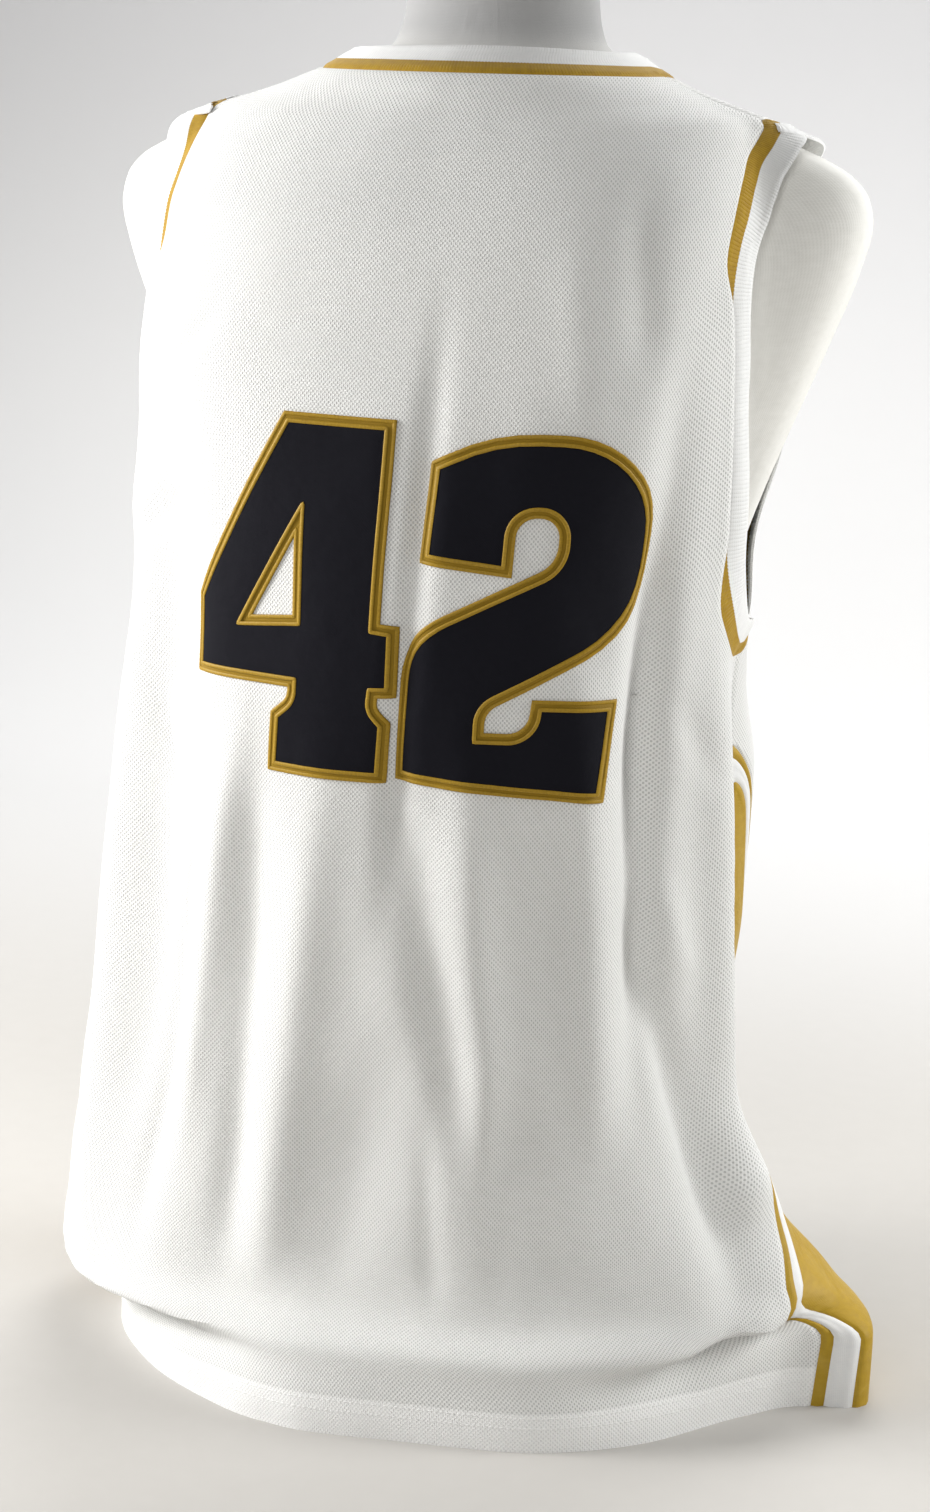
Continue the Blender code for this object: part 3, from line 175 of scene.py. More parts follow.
# Plan of the hem on the floor, (x, y) from the centre back round to the centre front.
HEM_RIGHT = [
    (0.0000, 0.1570), (-0.0400, 0.1525), (-0.0795, 0.1465), (-0.1100, 0.1340),
    (-0.1334, 0.1194), (-0.1743, 0.0826), (-0.1972, 0.0582), (-0.2207, 0.0360),
    (-0.2390, 0.0290), (-0.2570, 0.0250), (-0.2640, 0.0170), (-0.2620, 0.0020),
    (-0.2500, -0.0300), (-0.2250, -0.0650), (-0.1850, -0.0950), (-0.1250, -0.1190),
    (-0.0600, -0.1290), (0.0000, -0.1310),
]
HEM_LEFT = [
    (0.0000, 0.1570), (0.0250, 0.1590), (0.0518, 0.1600), (0.0797, 0.1555),
    (0.1157, 0.1410), (0.1434, 0.1250), (0.1797, 0.0900), (0.2043, 0.0600),
    (0.2160, 0.0339), (0.2200, 0.0050), (0.2170, -0.0250), (0.2050, -0.0600),
    (0.1750, -0.0930), (0.1200, -0.1190), (0.0600, -0.1290), (0.0000, -0.1310),
]
STRIP_TOP = 0.044  # of the hem strip, up to where it meets the rings above
FLARE = 0.040  # cloth of the strip that already leans in at the centre back
FLARE_AROUND, FLARE_WIDTH = -0.03, 0.27  # where it does
BUCKLE_TOP = (0.15, 0.108)  # cloth and height of the ring where the buckle ends

# Buckle over the hem, round the jersey: the crease's place up the cloth, how deep and
# how wide it is, how far the roll over it stands out, and 1 where the strip's top
# lies level as a shelf or 0 where the cloth goes straight up.  low is the share by
# which the strip is squashed there, and run the cloth over which the jersey turns
# from the plan of its hem to the rings.
Buckle = namedtuple("Buckle", "around crease depth width roll shelf low run")
BUCKLES = [Buckle(*row) for row in (
    (-1.00, 0.050, 0.008, 0.016, 0.004, 0.3, 0.10, 0.055),
    (-0.72, 0.055, 0.010, 0.018, 0.006, 0.5, 0.15, 0.060),
    (-0.55, 0.062, 0.009, 0.022, 0.003, 0.7, 0.16, 0.065),
    (-0.46, 0.060, 0.014, 0.020, 0.003, 0.8, 0.20, 0.060),
    (-0.36, 0.054, 0.018, 0.016, 0.006, 0.8, 0.25, 0.050),
    (-0.24, 0.044, 0.012, 0.013, 0.005, 0.4, 0.12, 0.045),
    (-0.12, 0.038, 0.003, 0.015, 0.002, 0.1, 0.04, 0.045),
    (0.00, 0.036, 0.001, 0.016, 0.001, 0.0, 0.00, 0.045),
    (0.15, 0.035, 0.002, 0.014, 0.001, 0.0, 0.00, 0.042),
    (0.28, 0.038, 0.012, 0.011, 0.006, 0.2, 0.00, 0.048),
    (0.36, 0.062, 0.012, 0.014, 0.003, 0.8, 0.00, 0.055),
    (0.42, 0.076, 0.013, 0.021, 0.002, 1.0, 0.00, 0.058),
    (0.46, 0.078, 0.007, 0.021, 0.001, 0.8, 0.00, 0.066),
    (0.50, 0.076, 0.003, 0.018, 0.000, 0.3, 0.00, 0.085),
    (0.58, 0.070, 0.004, 0.018, 0.000, 0.2, 0.00, 0.085),
    (0.72, 0.060, 0.008, 0.016, 0.004, 0.4, 0.10, 0.065),
    (1.00, 0.050, 0.008, 0.016, 0.004, 0.3, 0.10, 0.055),
)]
LOW_TO = 0.085  # cloth up to where a squashed stretch of hem stays low
LOW_FADES = 0.070  # cloth over which it then rises back to the rings
ROLL = (0.0, 0.020, 0.022, 0.045)  # the roll's stretch of cloth over the crease

# Folds run from a low to a high place; across is in metres from the centre back.
Fold = namedtuple("Fold", "across_low up_low across_high up_high width depth")
FOLDS = [Fold(*row) for row in (
    (-0.245, 0.06, -0.200, 0.68, 0.022, 0.0100),
    (-0.190, 0.08, -0.155, 0.72, 0.028, -0.0120),
    (-0.180, 0.09, -0.128, 0.50, 0.010, -0.0065),
    (-0.150, 0.15, -0.096, 0.52, 0.012, 0.0060),
    (-0.110, 0.09, -0.086, 0.47, 0.012, -0.0065),
    (-0.086, 0.07, -0.040, 0.50, 0.017, 0.0070),
    (-0.008, 0.33, 0.014, 0.74, 0.008, -0.0050),
    (0.052, 0.17, -0.012, 0.50, 0.013, -0.0055),
    (0.060, 0.17, 0.032, 0.52, 0.015, 0.0055),
    (0.124, 0.18, 0.098, 0.56, 0.014, 0.0065),
    (0.225, 0.10, 0.136, 0.38, 0.013, -0.0120),
    (0.148, 0.20, 0.141, 0.62, 0.013, -0.0130),
    (0.138, 0.36, 0.154, 0.74, 0.014, -0.0070),
    (0.232, 0.10, 0.178, 0.70, 0.020, 0.0030),
    (0.110, 0.07, 0.060, 0.30, 0.016, -0.0040),
    (-0.040, 0.07, -0.010, 0.32, 0.020, -0.0035),
    (0.128, 0.66, 0.112, 0.80, 0.011, -0.0030),
    (0.100, 0.62, 0.080, 0.77, 0.014, 0.0020),
    (0.240, -0.06, 0.190, 0.60, 0.015, 0.0125),
    (0.254, 0.060, 0.232, 0.24, 0.024, 0.0175),
    (0.252, 0.14, 0.238, 0.58, 0.017, -0.0120),
    (0.296, 0.22, 0.290, 0.60, 0.030, 0.0100),
    (0.300, 0.42, 0.290, 0.63, 0.045, -0.0110),
    (0.228, 0.088, 0.222, 0.190, 0.018, -0.0150),
    (-0.330, 0.12, -0.310, 0.44, 0.024, 0.0060),
    (-0.390, 0.10, -0.370, 0.44, 0.022, -0.0090),
    (-0.470, 0.12, -0.455, 0.40, 0.026, 0.0070),
    (0.360, 0.12, 0.350, 0.42, 0.022, -0.0080),
    (0.430, 0.12, 0.420, 0.40, 0.026, 0.0070),
)]
FOLD_FADES = (0.30, 0.40)  # shares of a fold's length, at its low and its high end

# Finer folds that only soften the cloth between the main ones.
FINE_FOLDS = [Fold(*row) for row in (
    (0.070, 0.08, 0.060, 0.28, 0.010, -0.0025),
    (0.030, 0.08, 0.016, 0.26, 0.007, -0.0020),
    (-0.190, 0.64, -0.108, 0.71, 0.006, -0.0022),
    (-0.215, 0.555, -0.125, 0.615, 0.007, -0.0024),
    (-0.205, 0.585, -0.140, 0.650, 0.006, 0.0016),
    (-0.160, 0.40, -0.205, 0.50, 0.009, -0.0020),
    (0.190, 0.30, 0.150, 0.40, 0.008, 0.0022),
    (0.205, 0.42, 0.160, 0.50, 0.008, -0.0022),
)]

# Uneven cloth: the size of its heights round the jersey and up it, how high they are
# where it lies on the form, and how much more where it hangs.
Ripple = namedtuple("Ripple", "seed round up lying hanging")
RIPPLES = [Ripple(*row) for row in (
    (3, 0.045, 0.110, 0.0006, 0.0016),
    (8, 0.022, 0.045, 0.0003, 0.0004),
)]
HANGS_TO, HANGS_FADES = 0.50, 0.20  # cloth up to where the jersey hangs

# Stretches of cloth beside the armholes: where each starts, the cloth over which it
# eases in, where it ends, and the cloth over which it eases out.
ROLLED_EDGE = (0.53, 0.05, 0.695, 0.045)  # of the back panel, over the bands
TUCKED_BAND = (0.53, 0.05, 0.70, 0.07)  # under that edge
FLARED_BAND = (0.46, 0.03, 0.58, 0.08)  # at the wearer's right

Armhole = namedtuple("Armhole", "z back front")
ARMHOLE = [Armhole(*row) for row in (
    (0.4560, 0.000, 0.000),
    (0.4585, 0.020, 0.016),
    (0.4670, 0.038, 0.026),
    (0.4850, 0.053, 0.034),
    (0.5120, 0.063, 0.042),
    (0.5450, 0.068, 0.050),
    (0.5850, 0.070, 0.063),
    (0.6250, 0.071, 0.076),
    (0.6650, 0.071, 0.078),
    (0.7000, 0.064, 0.075),
    (0.7250, 0.047, 0.065),
    (0.7420, 0.031, 0.055),
    (0.7540, 0.016, 0.040),
    (0.7610, 0.007, 0.021),
    (0.7645, 0.000, 0.000),
)]
NECK_Z = 0.7865  # of the back neckline, and where it meets the shoulder seams

# Front neckline under the shoulder seams: its half width at each height.
Scoop = namedtuple("Scoop", "z half")
FRONT_NECK = [Scoop(*row) for row in (
    (0.7800, 0.0930),
    (0.7680, 0.0830),
    (0.7490, 0.0700),
    (0.7300, 0.0520),
    (0.7180, 0.0280),
    (0.7140, 0.0000),
)]

# Outlines in the side insert, each a pointed arch: half width at the hem and apex.
Arch = namedtuple("Arch", "half_width apex_up")
INSERT_OUTLINE = Arch(0.074, 0.445)  # outer edge of the narrow gold strip
INSERT_WHITE = Arch(0.067, 0.436)  # seam of the gold strip and the white strip
INSERT_GOLD = Arch(0.052, 0.420)  # edge of the wide gold panel
ARCH_POWER = 0.55  # how blunt an arch is
# Around at the middle of each insert; the jersey is turned to the left, and its back
# panel bags out beside the right insert.
Middle = namedtuple("Middle", "up right left")
INSERT_MIDDLE = [Middle(*row) for row in (
    (0.000, 0.557, 0.610),
    (0.044, 0.556, 0.600),
    (0.066, 0.552, 0.595),
    (0.092, 0.543, 0.589),
    (0.116, 0.543, 0.582),
    (0.145, 0.560, 0.574),
    (0.200, 0.578, 0.561),
    (0.270, 0.560, 0.543),
    (0.340, 0.546, 0.526),
    (0.400, 0.532, 0.511),
    (0.445, 0.505, 0.500),
)]

# ---- numerals
Corner = namedtuple("Corner", "x y radius")
FOUR = [Corner(*row) for row in (
    (54.5, -2.5, 0), (127, -2.5, 0), (128.5, 33, 0), (121, 41.5, 8),
    (121.5, 47, 0), (131, 47.5, 0), (131.5, 88.5, 0), (121.5, 89.5, 0),
    (124, 202.5, 0), (57, 203.5, 0), (-3.5, 93.5, 0), (-3, 47.5, 0),
    (66.5, 48, 0), (66.5, 42, 9), (55.5, 32.5, 0),
)]
FOUR_EYE = [Corner(*row) for row in ((40, 86.5, 0), (67.5, 89.5, 0), (67, 134, 0))]
TWO = [Corner(*row) for row in (
    (-2, 5, 0), (117, -4, 0), (124, 55, 0), (75, 56, 0),
    (73, 36.5, 12), (49.5, 36.5, 0), (49.5, 48.5, 12),
    (139.5, 98, 68), (139.5, 203.5, 55), (45, 203.5, 108),
    (11, 185.5, 0), (8, 129.5, 0), (60, 124, 0),
    (61, 157.5, 11), (84.5, 157.5, 11), (84.5, 132.5, 17),
    (0, 89.5, 44),
)]


# ---- smooth tables
def slopes(x, y):
    """Slopes of a smooth curve through a table that never overshoots its rows."""
    step = np.diff(x)
    rise = np.diff(y) / step
    slope = np.zeros_like(y)
    slope[0], slope[-1] = rise[0], rise[-1]
    for i in range(1, len(y) - 1):
        if rise[i - 1] * rise[i] > 0:
            before = 2 * step[i] + step[i - 1]
            after = step[i] + 2 * step[i - 1]
            slope[i] = (before + after) / (before / rise[i - 1] + after / rise[i])
    return slope


def hermite(t, step, start, end, slope_at_start, slope_at_end):
    """The cubic curve between two rows, a step apart, at shares t of the way."""
    return (
        start * (1 + 2 * t) * (1 - t) ** 2
        + slope_at_start * step * t * (1 - t) ** 2
        + end * t * t * (3 - 2 * t)
        + slope_at_end * step * t * t * (t - 1)
    )


def smooth_curve(x, y, at):
    """The smooth curve through rows (x, y), read at any places."""
    at = np.clip(np.asarray(at, float), x[0], x[-1])
    i = np.clip(np.searchsorted(x, at, side="right") - 1, 0, len(x) - 2)
    step = x[i + 1] - x[i]
    slope = slopes(x, y)
    return hermite((at - x[i]) / step, step, y[i], y[i + 1], slope[i], slope[i + 1])


def read_table(rows, key, column, at):
    """One column of a table of named rows, read smoothly at any places."""
    x = np.array([getattr(row, key) for row in rows], float)
    y = np.array([getattr(row, column) for row in rows], float)
    return smooth_curve(x, y, at)


def ease_in(t):
    """0 below 0, 1 above 1, and smooth between."""
    t = np.clip(t, 0.0, 1.0)
    return t * t * (3 - 2 * t)


def unit(vectors):
    """The directions of vectors."""
    return vectors / np.linalg.norm(vectors, axis=-1, keepdims=True)


def stretch(up, start, rise, end, fall):
    """1 over a stretch of cloth and 0 outside it, with smooth ends."""
    return ease_in((up - start) / rise) * (1 - ease_in((up - end) / fall))


def bell(off, width):
    """1 at a place and smoothly less beside it."""
    return np.exp(-((off / width) ** 2))


def summed(steps):
    """Lengths along a run of steps, from 0."""
    return np.concatenate([[0.0], steps.cumsum()])


def cubic(t):
    """Weights of the four neighbours of a place along a grid line."""
    weights = [-t + 2 * t**2 - t**3, 2 - 5 * t**2 + 3 * t**3, t + 4 * t**2 - 3 * t**3, t**3 - t**2]
    return [weight / 2 for weight in weights]


def read_grid(grid, around, up):
    """A smooth reading of a grid: its columns run once round the jersey, its rows up."""
    around, up = np.broadcast_arrays(np.asarray(around, float), np.asarray(up, float))
    rows, columns = grid.shape[:2]
    a = (around + 1) / 2 * columns
    u = np.clip(up / TOP, 0, 1) * (rows - 1)
    i = np.floor(a).astype(int)
    j = np.clip(np.floor(u).astype(int), 0, rows - 2)
    ends = [2 * grid[:1] - grid[1:2], grid, 2 * grid[-1:] - grid[-2:-1]]
    grid = np.vstack(ends)
    total = np.zeros(around.shape + grid.shape[2:])
    for m, in_up in enumerate(cubic(u - j)):
        for n, in_around in enumerate(cubic(a - i)):
            weight = in_up * in_around
            values = grid[j + m, (i + n - 1) % columns]
            total += values * (weight[..., None] if values.ndim > weight.ndim else weight)
    return total


# ---- jersey surface
def jersey_rings():
    """The hanging rings, then rings that follow the form a little way off it."""
    rings = list(HANGING)
    for cut in FORM:
        if LYING_FROM_Z < cut.z <= LYING_TO_Z:
            last = rings[-1]
            back, side = cut.back + EASE, cut.half + EASE
            lift = LIFT * float(ease_in((cut.z - SHOULDER_Z) / SHOULDER_RISE))
            climb = math.hypot(cut.z + lift - last.z, back - last.back)
            front = cut.front + EASE + 3 * lift
            left = side + float(read_table(STANDS, "z", "left", cut.z))
            right = side + float(read_table(STANDS, "z", "right", cut.z))
            ring = (last.up + climb, cut.z + lift, left, right, back, front)
            stub = (cut.arm + EASE, cut.arm_depth + EASE)
            rings.append(Ring(*ring, cut.square, cut.sway, *stub))
    return rings


RINGS = jersey_rings()
TOP = RINGS[-1].up
QUARTERS = np.linspace(0.0, math.pi, 481)  # angles from centre back to centre front
AROUNDS = np.linspace(-1.0, 1.0, 841)[:-1]
UPS = np.linspace(0.0, TOP, 461)


def up_at_height(z):
    """Cloth length above the hem at a height, over the buckle."""
    ups = np.linspace(OVER_BUCKLE, TOP, 2000)
    return float(np.interp(z, read_table(RINGS, "up", "z", ups), ups))


UNDERARM_UP, SHOULDER_UP = up_at_height(ARMHOLE[0].z), up_at_height(ARMHOLE[-1].z)
NECK_UP = up_at_height(NECK_Z)


def section(turn, half, back, front, square, arm, arm_depth):
    """A level section at angles from the centre back: x out to the side, and y.

    The trunk is a squared oval, and a stub is one too; the two are joined smoothly.
    """
    sine, cosine = np.sin(turn), np.cos(turn)
    depth = np.where(cosine >= 0, back, front)
    trunk = (np.abs(sine / half) ** square + np.abs(cosine / depth) ** square) ** (-1 / square)
    reach = np.where(cosine >= 0, arm_depth - ARM_FORWARD, arm_depth + ARM_FORWARD)
    stub = np.abs(sine / arm) ** STUB_SQUARE + np.abs(cosine / reach) ** STUB_SQUARE
    stub = stub ** (-1 / STUB_SQUARE)
    out = (trunk**JOIN + stub**JOIN) ** (1 / JOIN)
    return out * sine, out * cosine


def half_outlines(up, side):
    """Halves of the rings as arrays (places, angles): x, y and length so far."""
    width = read_table(RINGS, "up", "right" if side > 0 else "left", up)[:, None]
    names = ("back", "front", "square", "arm", "arm_depth")
    columns = [read_table(RINGS, "up", name, up)[:, None] for name in names]
    x, y = section(QUARTERS, width, *columns)
    length = np.hypot(np.diff(x, axis=1), np.diff(y, axis=1)).cumsum(axis=1)
    length = np.concatenate([np.zeros((len(up), 1)), length], axis=1)
    sway = read_table(RINGS, "up", "sway", up)[:, None]
    return sway - side * x, y, length


OUTLINES = {side: half_outlines(UPS, side) for side in (1, -1)}


def half_length(up, side):
    """Length of one half of the rings, from centre back to centre front."""
    return np.interp(up, UPS, OUTLINES[side][2][:, -1])


def length_beside(across, up):
    """Length of the half of the rings that places lie on, by the sign of across."""
    return np.where(across >= 0, half_length(up, 1), half_length(up, -1))


def across_metres(around, up):
    """Metres round the ring from the centre back, + to the wearer's right."""
    return around * length_beside(around, up)


def hem_curve(side):
    """Plan of one half of the hem, as a curve in its own length from 0 to 1."""
    x, y = np.array(HEM_RIGHT if side > 0 else HEM_LEFT).T
    length = summed(np.hypot(np.diff(x), np.diff(y)))
    return length / length[-1], x, y


def ring_grid():
    """Grid of places on the smooth surface, before it buckles and folds."""
    up = UPS[:, None]
    points = np.zeros((len(UPS), len(AROUNDS), 3))
    flared = FLARE * bell(AROUNDS - FLARE_AROUND, FLARE_WIDTH)[None]
    run = read_table(BUCKLES, "around", "run", AROUNDS)[None]
    on_ring = ease_in((up - STRIP_TOP + flared) / (run + flared))
    for side in (1, -1):
        here = np.flatnonzero((AROUNDS >= 0) if side > 0 else (AROUNDS < 0))
        part = np.abs(AROUNDS[here])
        x, y, length = OUTLINES[side]
        for row in range(len(UPS)):
            wanted = part * length[row, -1]
            points[row, here, 0] = np.interp(wanted, length[row], x[row])
            points[row, here, 1] = np.interp(wanted, length[row], y[row])
        along, hem_x, hem_y = hem_curve(side)
        ring = on_ring[:, here]
        for axis, plan in enumerate((hem_x, hem_y)):
            hem = smooth_curve(along, plan, part)[None]
            points[:, here, axis] = ring * points[:, here, axis] + (1 - ring) * hem
    end_up, end_z = BUCKLE_TOP
    straight_up = np.interp(up, [0.0, STRIP_TOP, end_up], [0.0, STRIP_TOP, end_z])
    shelf = read_table(BUCKLES, "around", "shelf", AROUNDS)[None] * (up < end_up)
    level = read_table(RINGS, "up", "z", UPS)[:, None]
    low = read_table(BUCKLES, "around", "low", AROUNDS)[None]
    low = low * (1 - ease_in((up - LOW_TO) / LOW_FADES))
    height = np.where(up < end_up, shelf * level + (1 - shelf) * straight_up, level)
    points[:, :, 2] = height * (1 - low)
    return points


def fold_depth(around, up, folds):
    """How far a list of folds pushes the cloth outwards."""
    across = across_metres(around, up)
    depth = np.zeros(across.shape)
    for fold in folds:
        run = (fold.across_high - fold.across_low, fold.up_high - fold.up_low)
        span = math.hypot(*run)
        along = ((across - fold.across_low) * run[0] + (up - fold.up_low) * run[1]) / span
        off = ((across - fold.across_low) * run[1] - (up - fold.up_low) * run[0]) / span
        fade = ease_in(along / (FOLD_FADES[0] * span))
        fade = fade * ease_in((span - along) / (FOLD_FADES[1] * span))
        depth += fold.depth * bell(off, fold.width) * fade
    return depth


def buckle_push(around, up):
    """How far the buckle over the hem pushes the cloth outwards."""
    crease, depth, width, roll = (
        read_table(BUCKLES, "around", column, around)
        for column in ("crease", "depth", "width", "roll")
    )
    return roll * stretch(up - crease, *ROLL) - depth * bell(up - crease, width)


def ripple(seed, size_round, size_up):
    """Smooth uneven heights over the whole jersey, from about -1 to 1."""
    columns, rows = round(GIRTH / size_round), round(TOP / size_up) + 1
    heights = np.random.default_rng(seed).uniform(-1, 1, (rows, columns))
    return read_grid(heights, *np.meshgrid(AROUNDS, UPS))


def cloth_grid():
    """Grid of places on the inner face of the cloth, folds and buckle included."""
    around, up = np.meshgrid(AROUNDS, UPS)
    points = ring_grid()
    ahead = np.roll(points, -1, axis=1) - np.roll(points, 1, axis=1)
    out = unit(np.stack([ahead[..., 1], -ahead[..., 0], np.zeros(up.shape)], axis=-1))
    push = buckle_push(around, up)
    push += fold_depth(around, up, FOLDS) * ease_in((up - STRIP_TOP) / 0.05)
    push += fold_depth(around, up, FINE_FOLDS)
    hanging = 1 - ease_in((up - HANGS_TO) / HANGS_FADES)
    for row in RIPPLES:
        heights = ripple(row.seed, row.round, row.up)
        push += heights * (row.lying + row.hanging * hanging)
    return points + out * push[..., None] + ORIGIN


CLOTH_GRID = cloth_grid()


def cloth(around, up):
    """Places on the inner face of the cloth."""
    return read_grid(CLOTH_GRID, around, up)


def cloth_normals(around, up):
    """Directions out of the cloth."""
    along = cloth(around + 2e-3, up) - cloth(around - 2e-3, up)
    rising = cloth(around, np.minimum(up + 1e-3, TOP)) - cloth(around, np.maximum(up - 1e-3, 0))
    return unit(np.cross(along, rising))


# ---- seam lines
# A line is an array of (around, up) rows.
def offset_line(line, distance, closed=False):
    """The line moved sideways on the surface: left of its run, seen from outside."""
    step = 1e-3
    around, up = line[:, 0], line[:, 1]
    here = cloth(around, up)
    above, below = np.minimum(up + step, TOP), np.maximum(up - step, 0)
    per_around = (cloth(around + step, up) - cloth(around - step, up)) / (2 * step)
    per_up = (cloth(around, above) - cloth(around, below)) / (above - below)[:, None]
    out = unit(np.cross(per_around, per_up))
    if closed:
        before, after = here - np.roll(here, 1, axis=0), np.roll(here, -1, axis=0) - here
    else:
        run = np.diff(here, axis=0)
        before, after = np.vstack([run[:1], run]), np.vstack([run, run[-1:]])
    sideways = [unit(np.cross(out, run)) for run in (before, after)]
    mitre = sideways[0] + sideways[1]
    # The mitre's length is limited at sharp turns.
    mitre /= np.maximum(1 + (sideways[0] * sideways[1]).sum(axis=1), 0.4)[:, None]
    mitre *= distance
    e = (per_around * per_around).sum(axis=1)
    f = (per_around * per_up).sum(axis=1)
    g = (per_up * per_up).sum(axis=1)
    a, b = (mitre * per_around).sum(axis=1), (mitre * per_up).sum(axis=1)
    moved = np.stack([(g * a - f * b), (e * b - f * a)], axis=1) / (e * g - f * f)[:, None]
    return line + moved


def resample(line, spacing, closed=False):
    """A smooth line through a coarse one, with points about that many metres apart."""
    if closed:
        line = np.vstack([line[-2:], line, line[:3]])
    metres = line * (GIRTH / 2, 1.0)
    length = summed(np.hypot(*np.diff(metres, axis=0).T))
    slope = np.empty_like(line)
    slope[1:-1] = (line[2:] - line[:-2]) / (length[2:] - length[:-2])[:, None]
    ends = line[[1, -1]] - line[[0, -2]]
    slope[0], slope[-1] = ends / (length[[1, -1]] - length[[0, -2]])[:, None]
    start, end = (length[2], length[-3]) if closed else (0.0, length[-1])
    at = np.linspace(start, end, max(2, round((end - start) / spacing)) + 1)
    i = np.clip(np.searchsorted(length, at, side="right") - 1, 0, len(line) - 2)
    step = (length[i + 1] - length[i])[:, None]
    t = (at[:, None] - length[i][:, None]) / step
    smooth = hermite(t, step, line[i], line[i + 1], slope[i], slope[i + 1])
    return smooth[:-1] if closed else smooth


def insert_centre(up, side):
    """Around at the middle of a side insert."""
    return read_table(INSERT_MIDDLE, "up", "right" if side > 0 else "left", up)


def arch_line(arch, side, leg, count=110):
    """One leg of an insert outline from the hem to its apex; leg -1 is the back one."""
    share = 1 - (1 - np.linspace(0, 1, count)) ** 1.7
    up = share * arch.apex_up
    half = arch.half_width * (1 - share) ** ARCH_POWER
    around = insert_centre(up, side) + leg * half / half_length(up, side)
    return np.stack([side * around, up], axis=1)


def armhole_corners(side, leg):
    """Places on one half of an armhole from the underarm up to the shoulder."""
    line = []
    for row in ARMHOLE[1:-1]:
        up = up_at_height(row.z)
        _, y, length = (values[0] for values in half_outlines(np.array([up]), side))
        middle = np.interp(0.5 * length[-1], length, y)
        wanted = middle + row.back if leg < 0 else middle - row.front
        around = np.interp(wanted, y[::-1], length[::-1]) / length[-1]
        line.append((side * around, up))
    return line


def armhole(side, spacing):
    """The whole armhole seam: underarm, up the back, shoulder and down the front."""
    underarm, shoulder = (side * 0.5, UNDERARM_UP), (side * 0.5, SHOULDER_UP)
    back, front = armhole_corners(side, -1), armhole_corners(side, 1)
    line = np.array([underarm, *back, shoulder, *front[::-1]])
    return resample(line, spacing, closed=True)


def armhole_half(side, leg):
    """One half of the armhole seam, from the underarm to the shoulder."""
    line = armhole(side, 0.0005)
    if leg > 0:
        line = np.vstack([line[:1], line[1:][::-1]])
    # The shoulder's end is the highest place near the middle of the side.
    top = int(np.argmax(line[:, 1] - 9 * (np.abs(line[:, 0] - side * 0.5) > 0.02)))
    line = line[: top + 1]
    line[-1] = (side * 0.5, SHOULDER_UP)
    close = 1 - np.array([0.012, 0.007, 0.0035, 0.0])
    shares = np.concatenate([np.linspace(0, 0.975, 84), close])
    return line[(shares * top).round().astype(int)]


def side_line(side, leg):
    """Side edge of a body panel, from the hem to the shoulder."""
    hole = armhole_half(side, leg)
    arch = arch_line(INSERT_OUTLINE, side, leg)
    ups = np.linspace(arch[-1, 1], hole[0, 1], 14)[1:-1]
    seam = np.stack([np.full(len(ups), side * 0.5), ups], axis=1)
    return np.vstack([arch, seam, hole])


def neck_line(front, count):
    """Neckline of a panel from the left shoulder seam to the right one."""
    if not front:
        around = np.linspace(-0.5, 0.5, count + 1)
        return np.stack([around, np.full(len(around), NECK_UP)], axis=1)
    right = [(0.5, NECK_UP)]
    for row in FRONT_NECK[:-1]:
        up = up_at_height(row.z)
        x, _, length = (values[0] for values in half_outlines(np.array([up]), 1))
        half = len(x) // 2
        around = np.interp(row.half, -x[half:][::-1], length[half:][::-1]) / length[-1]
        right.append((around, up))
    right = np.array(right)
    middle = [[1.0, up_at_height(FRONT_NECK[-1].z)]]
    whole = np.vstack([(right * (-1, 1) + (2, 0)), middle, right[::-1]])[::-1]
    line = resample(whole, 0.0005)
    line = line[np.linspace(0, len(line) - 1, count + 1).round().astype(int)][::-1]
    return np.stack([(line[:, 0] + 1) % 2 - 1, line[:, 1]], axis=1)


# ---- cutting the pieces
def to_flat(line, front):
    """(around, up) to metres across a body panel and up it."""
    around, up = line[..., 0], line[..., 1]
    length = length_beside(around, up)
    across = np.sign(around) * (1 - np.abs(around)) * length if front else around * length
    return np.stack([across, up], axis=-1)


def from_flat(flat, front):
    """Metres across a panel and up it, to (around, up)."""
    across, up = flat[..., 0], flat[..., 1]
    part = across / length_beside(across, up)
    around = np.where(across >= 0, 1 - part, -1 - part) if front else part
    return np.stack([around, up], axis=-1)


def edge_shares(count):
    """Shares from 0 to 1, closer together near both ends."""
    close = [0.0, 0.0016, 0.0032, 0.0055, 0.0085, 0.0125, 0.0180]
    inner = np.linspace(0.026, 0.974, count)
    return np.concatenate([close, inner, 1 - np.array(close[::-1])])


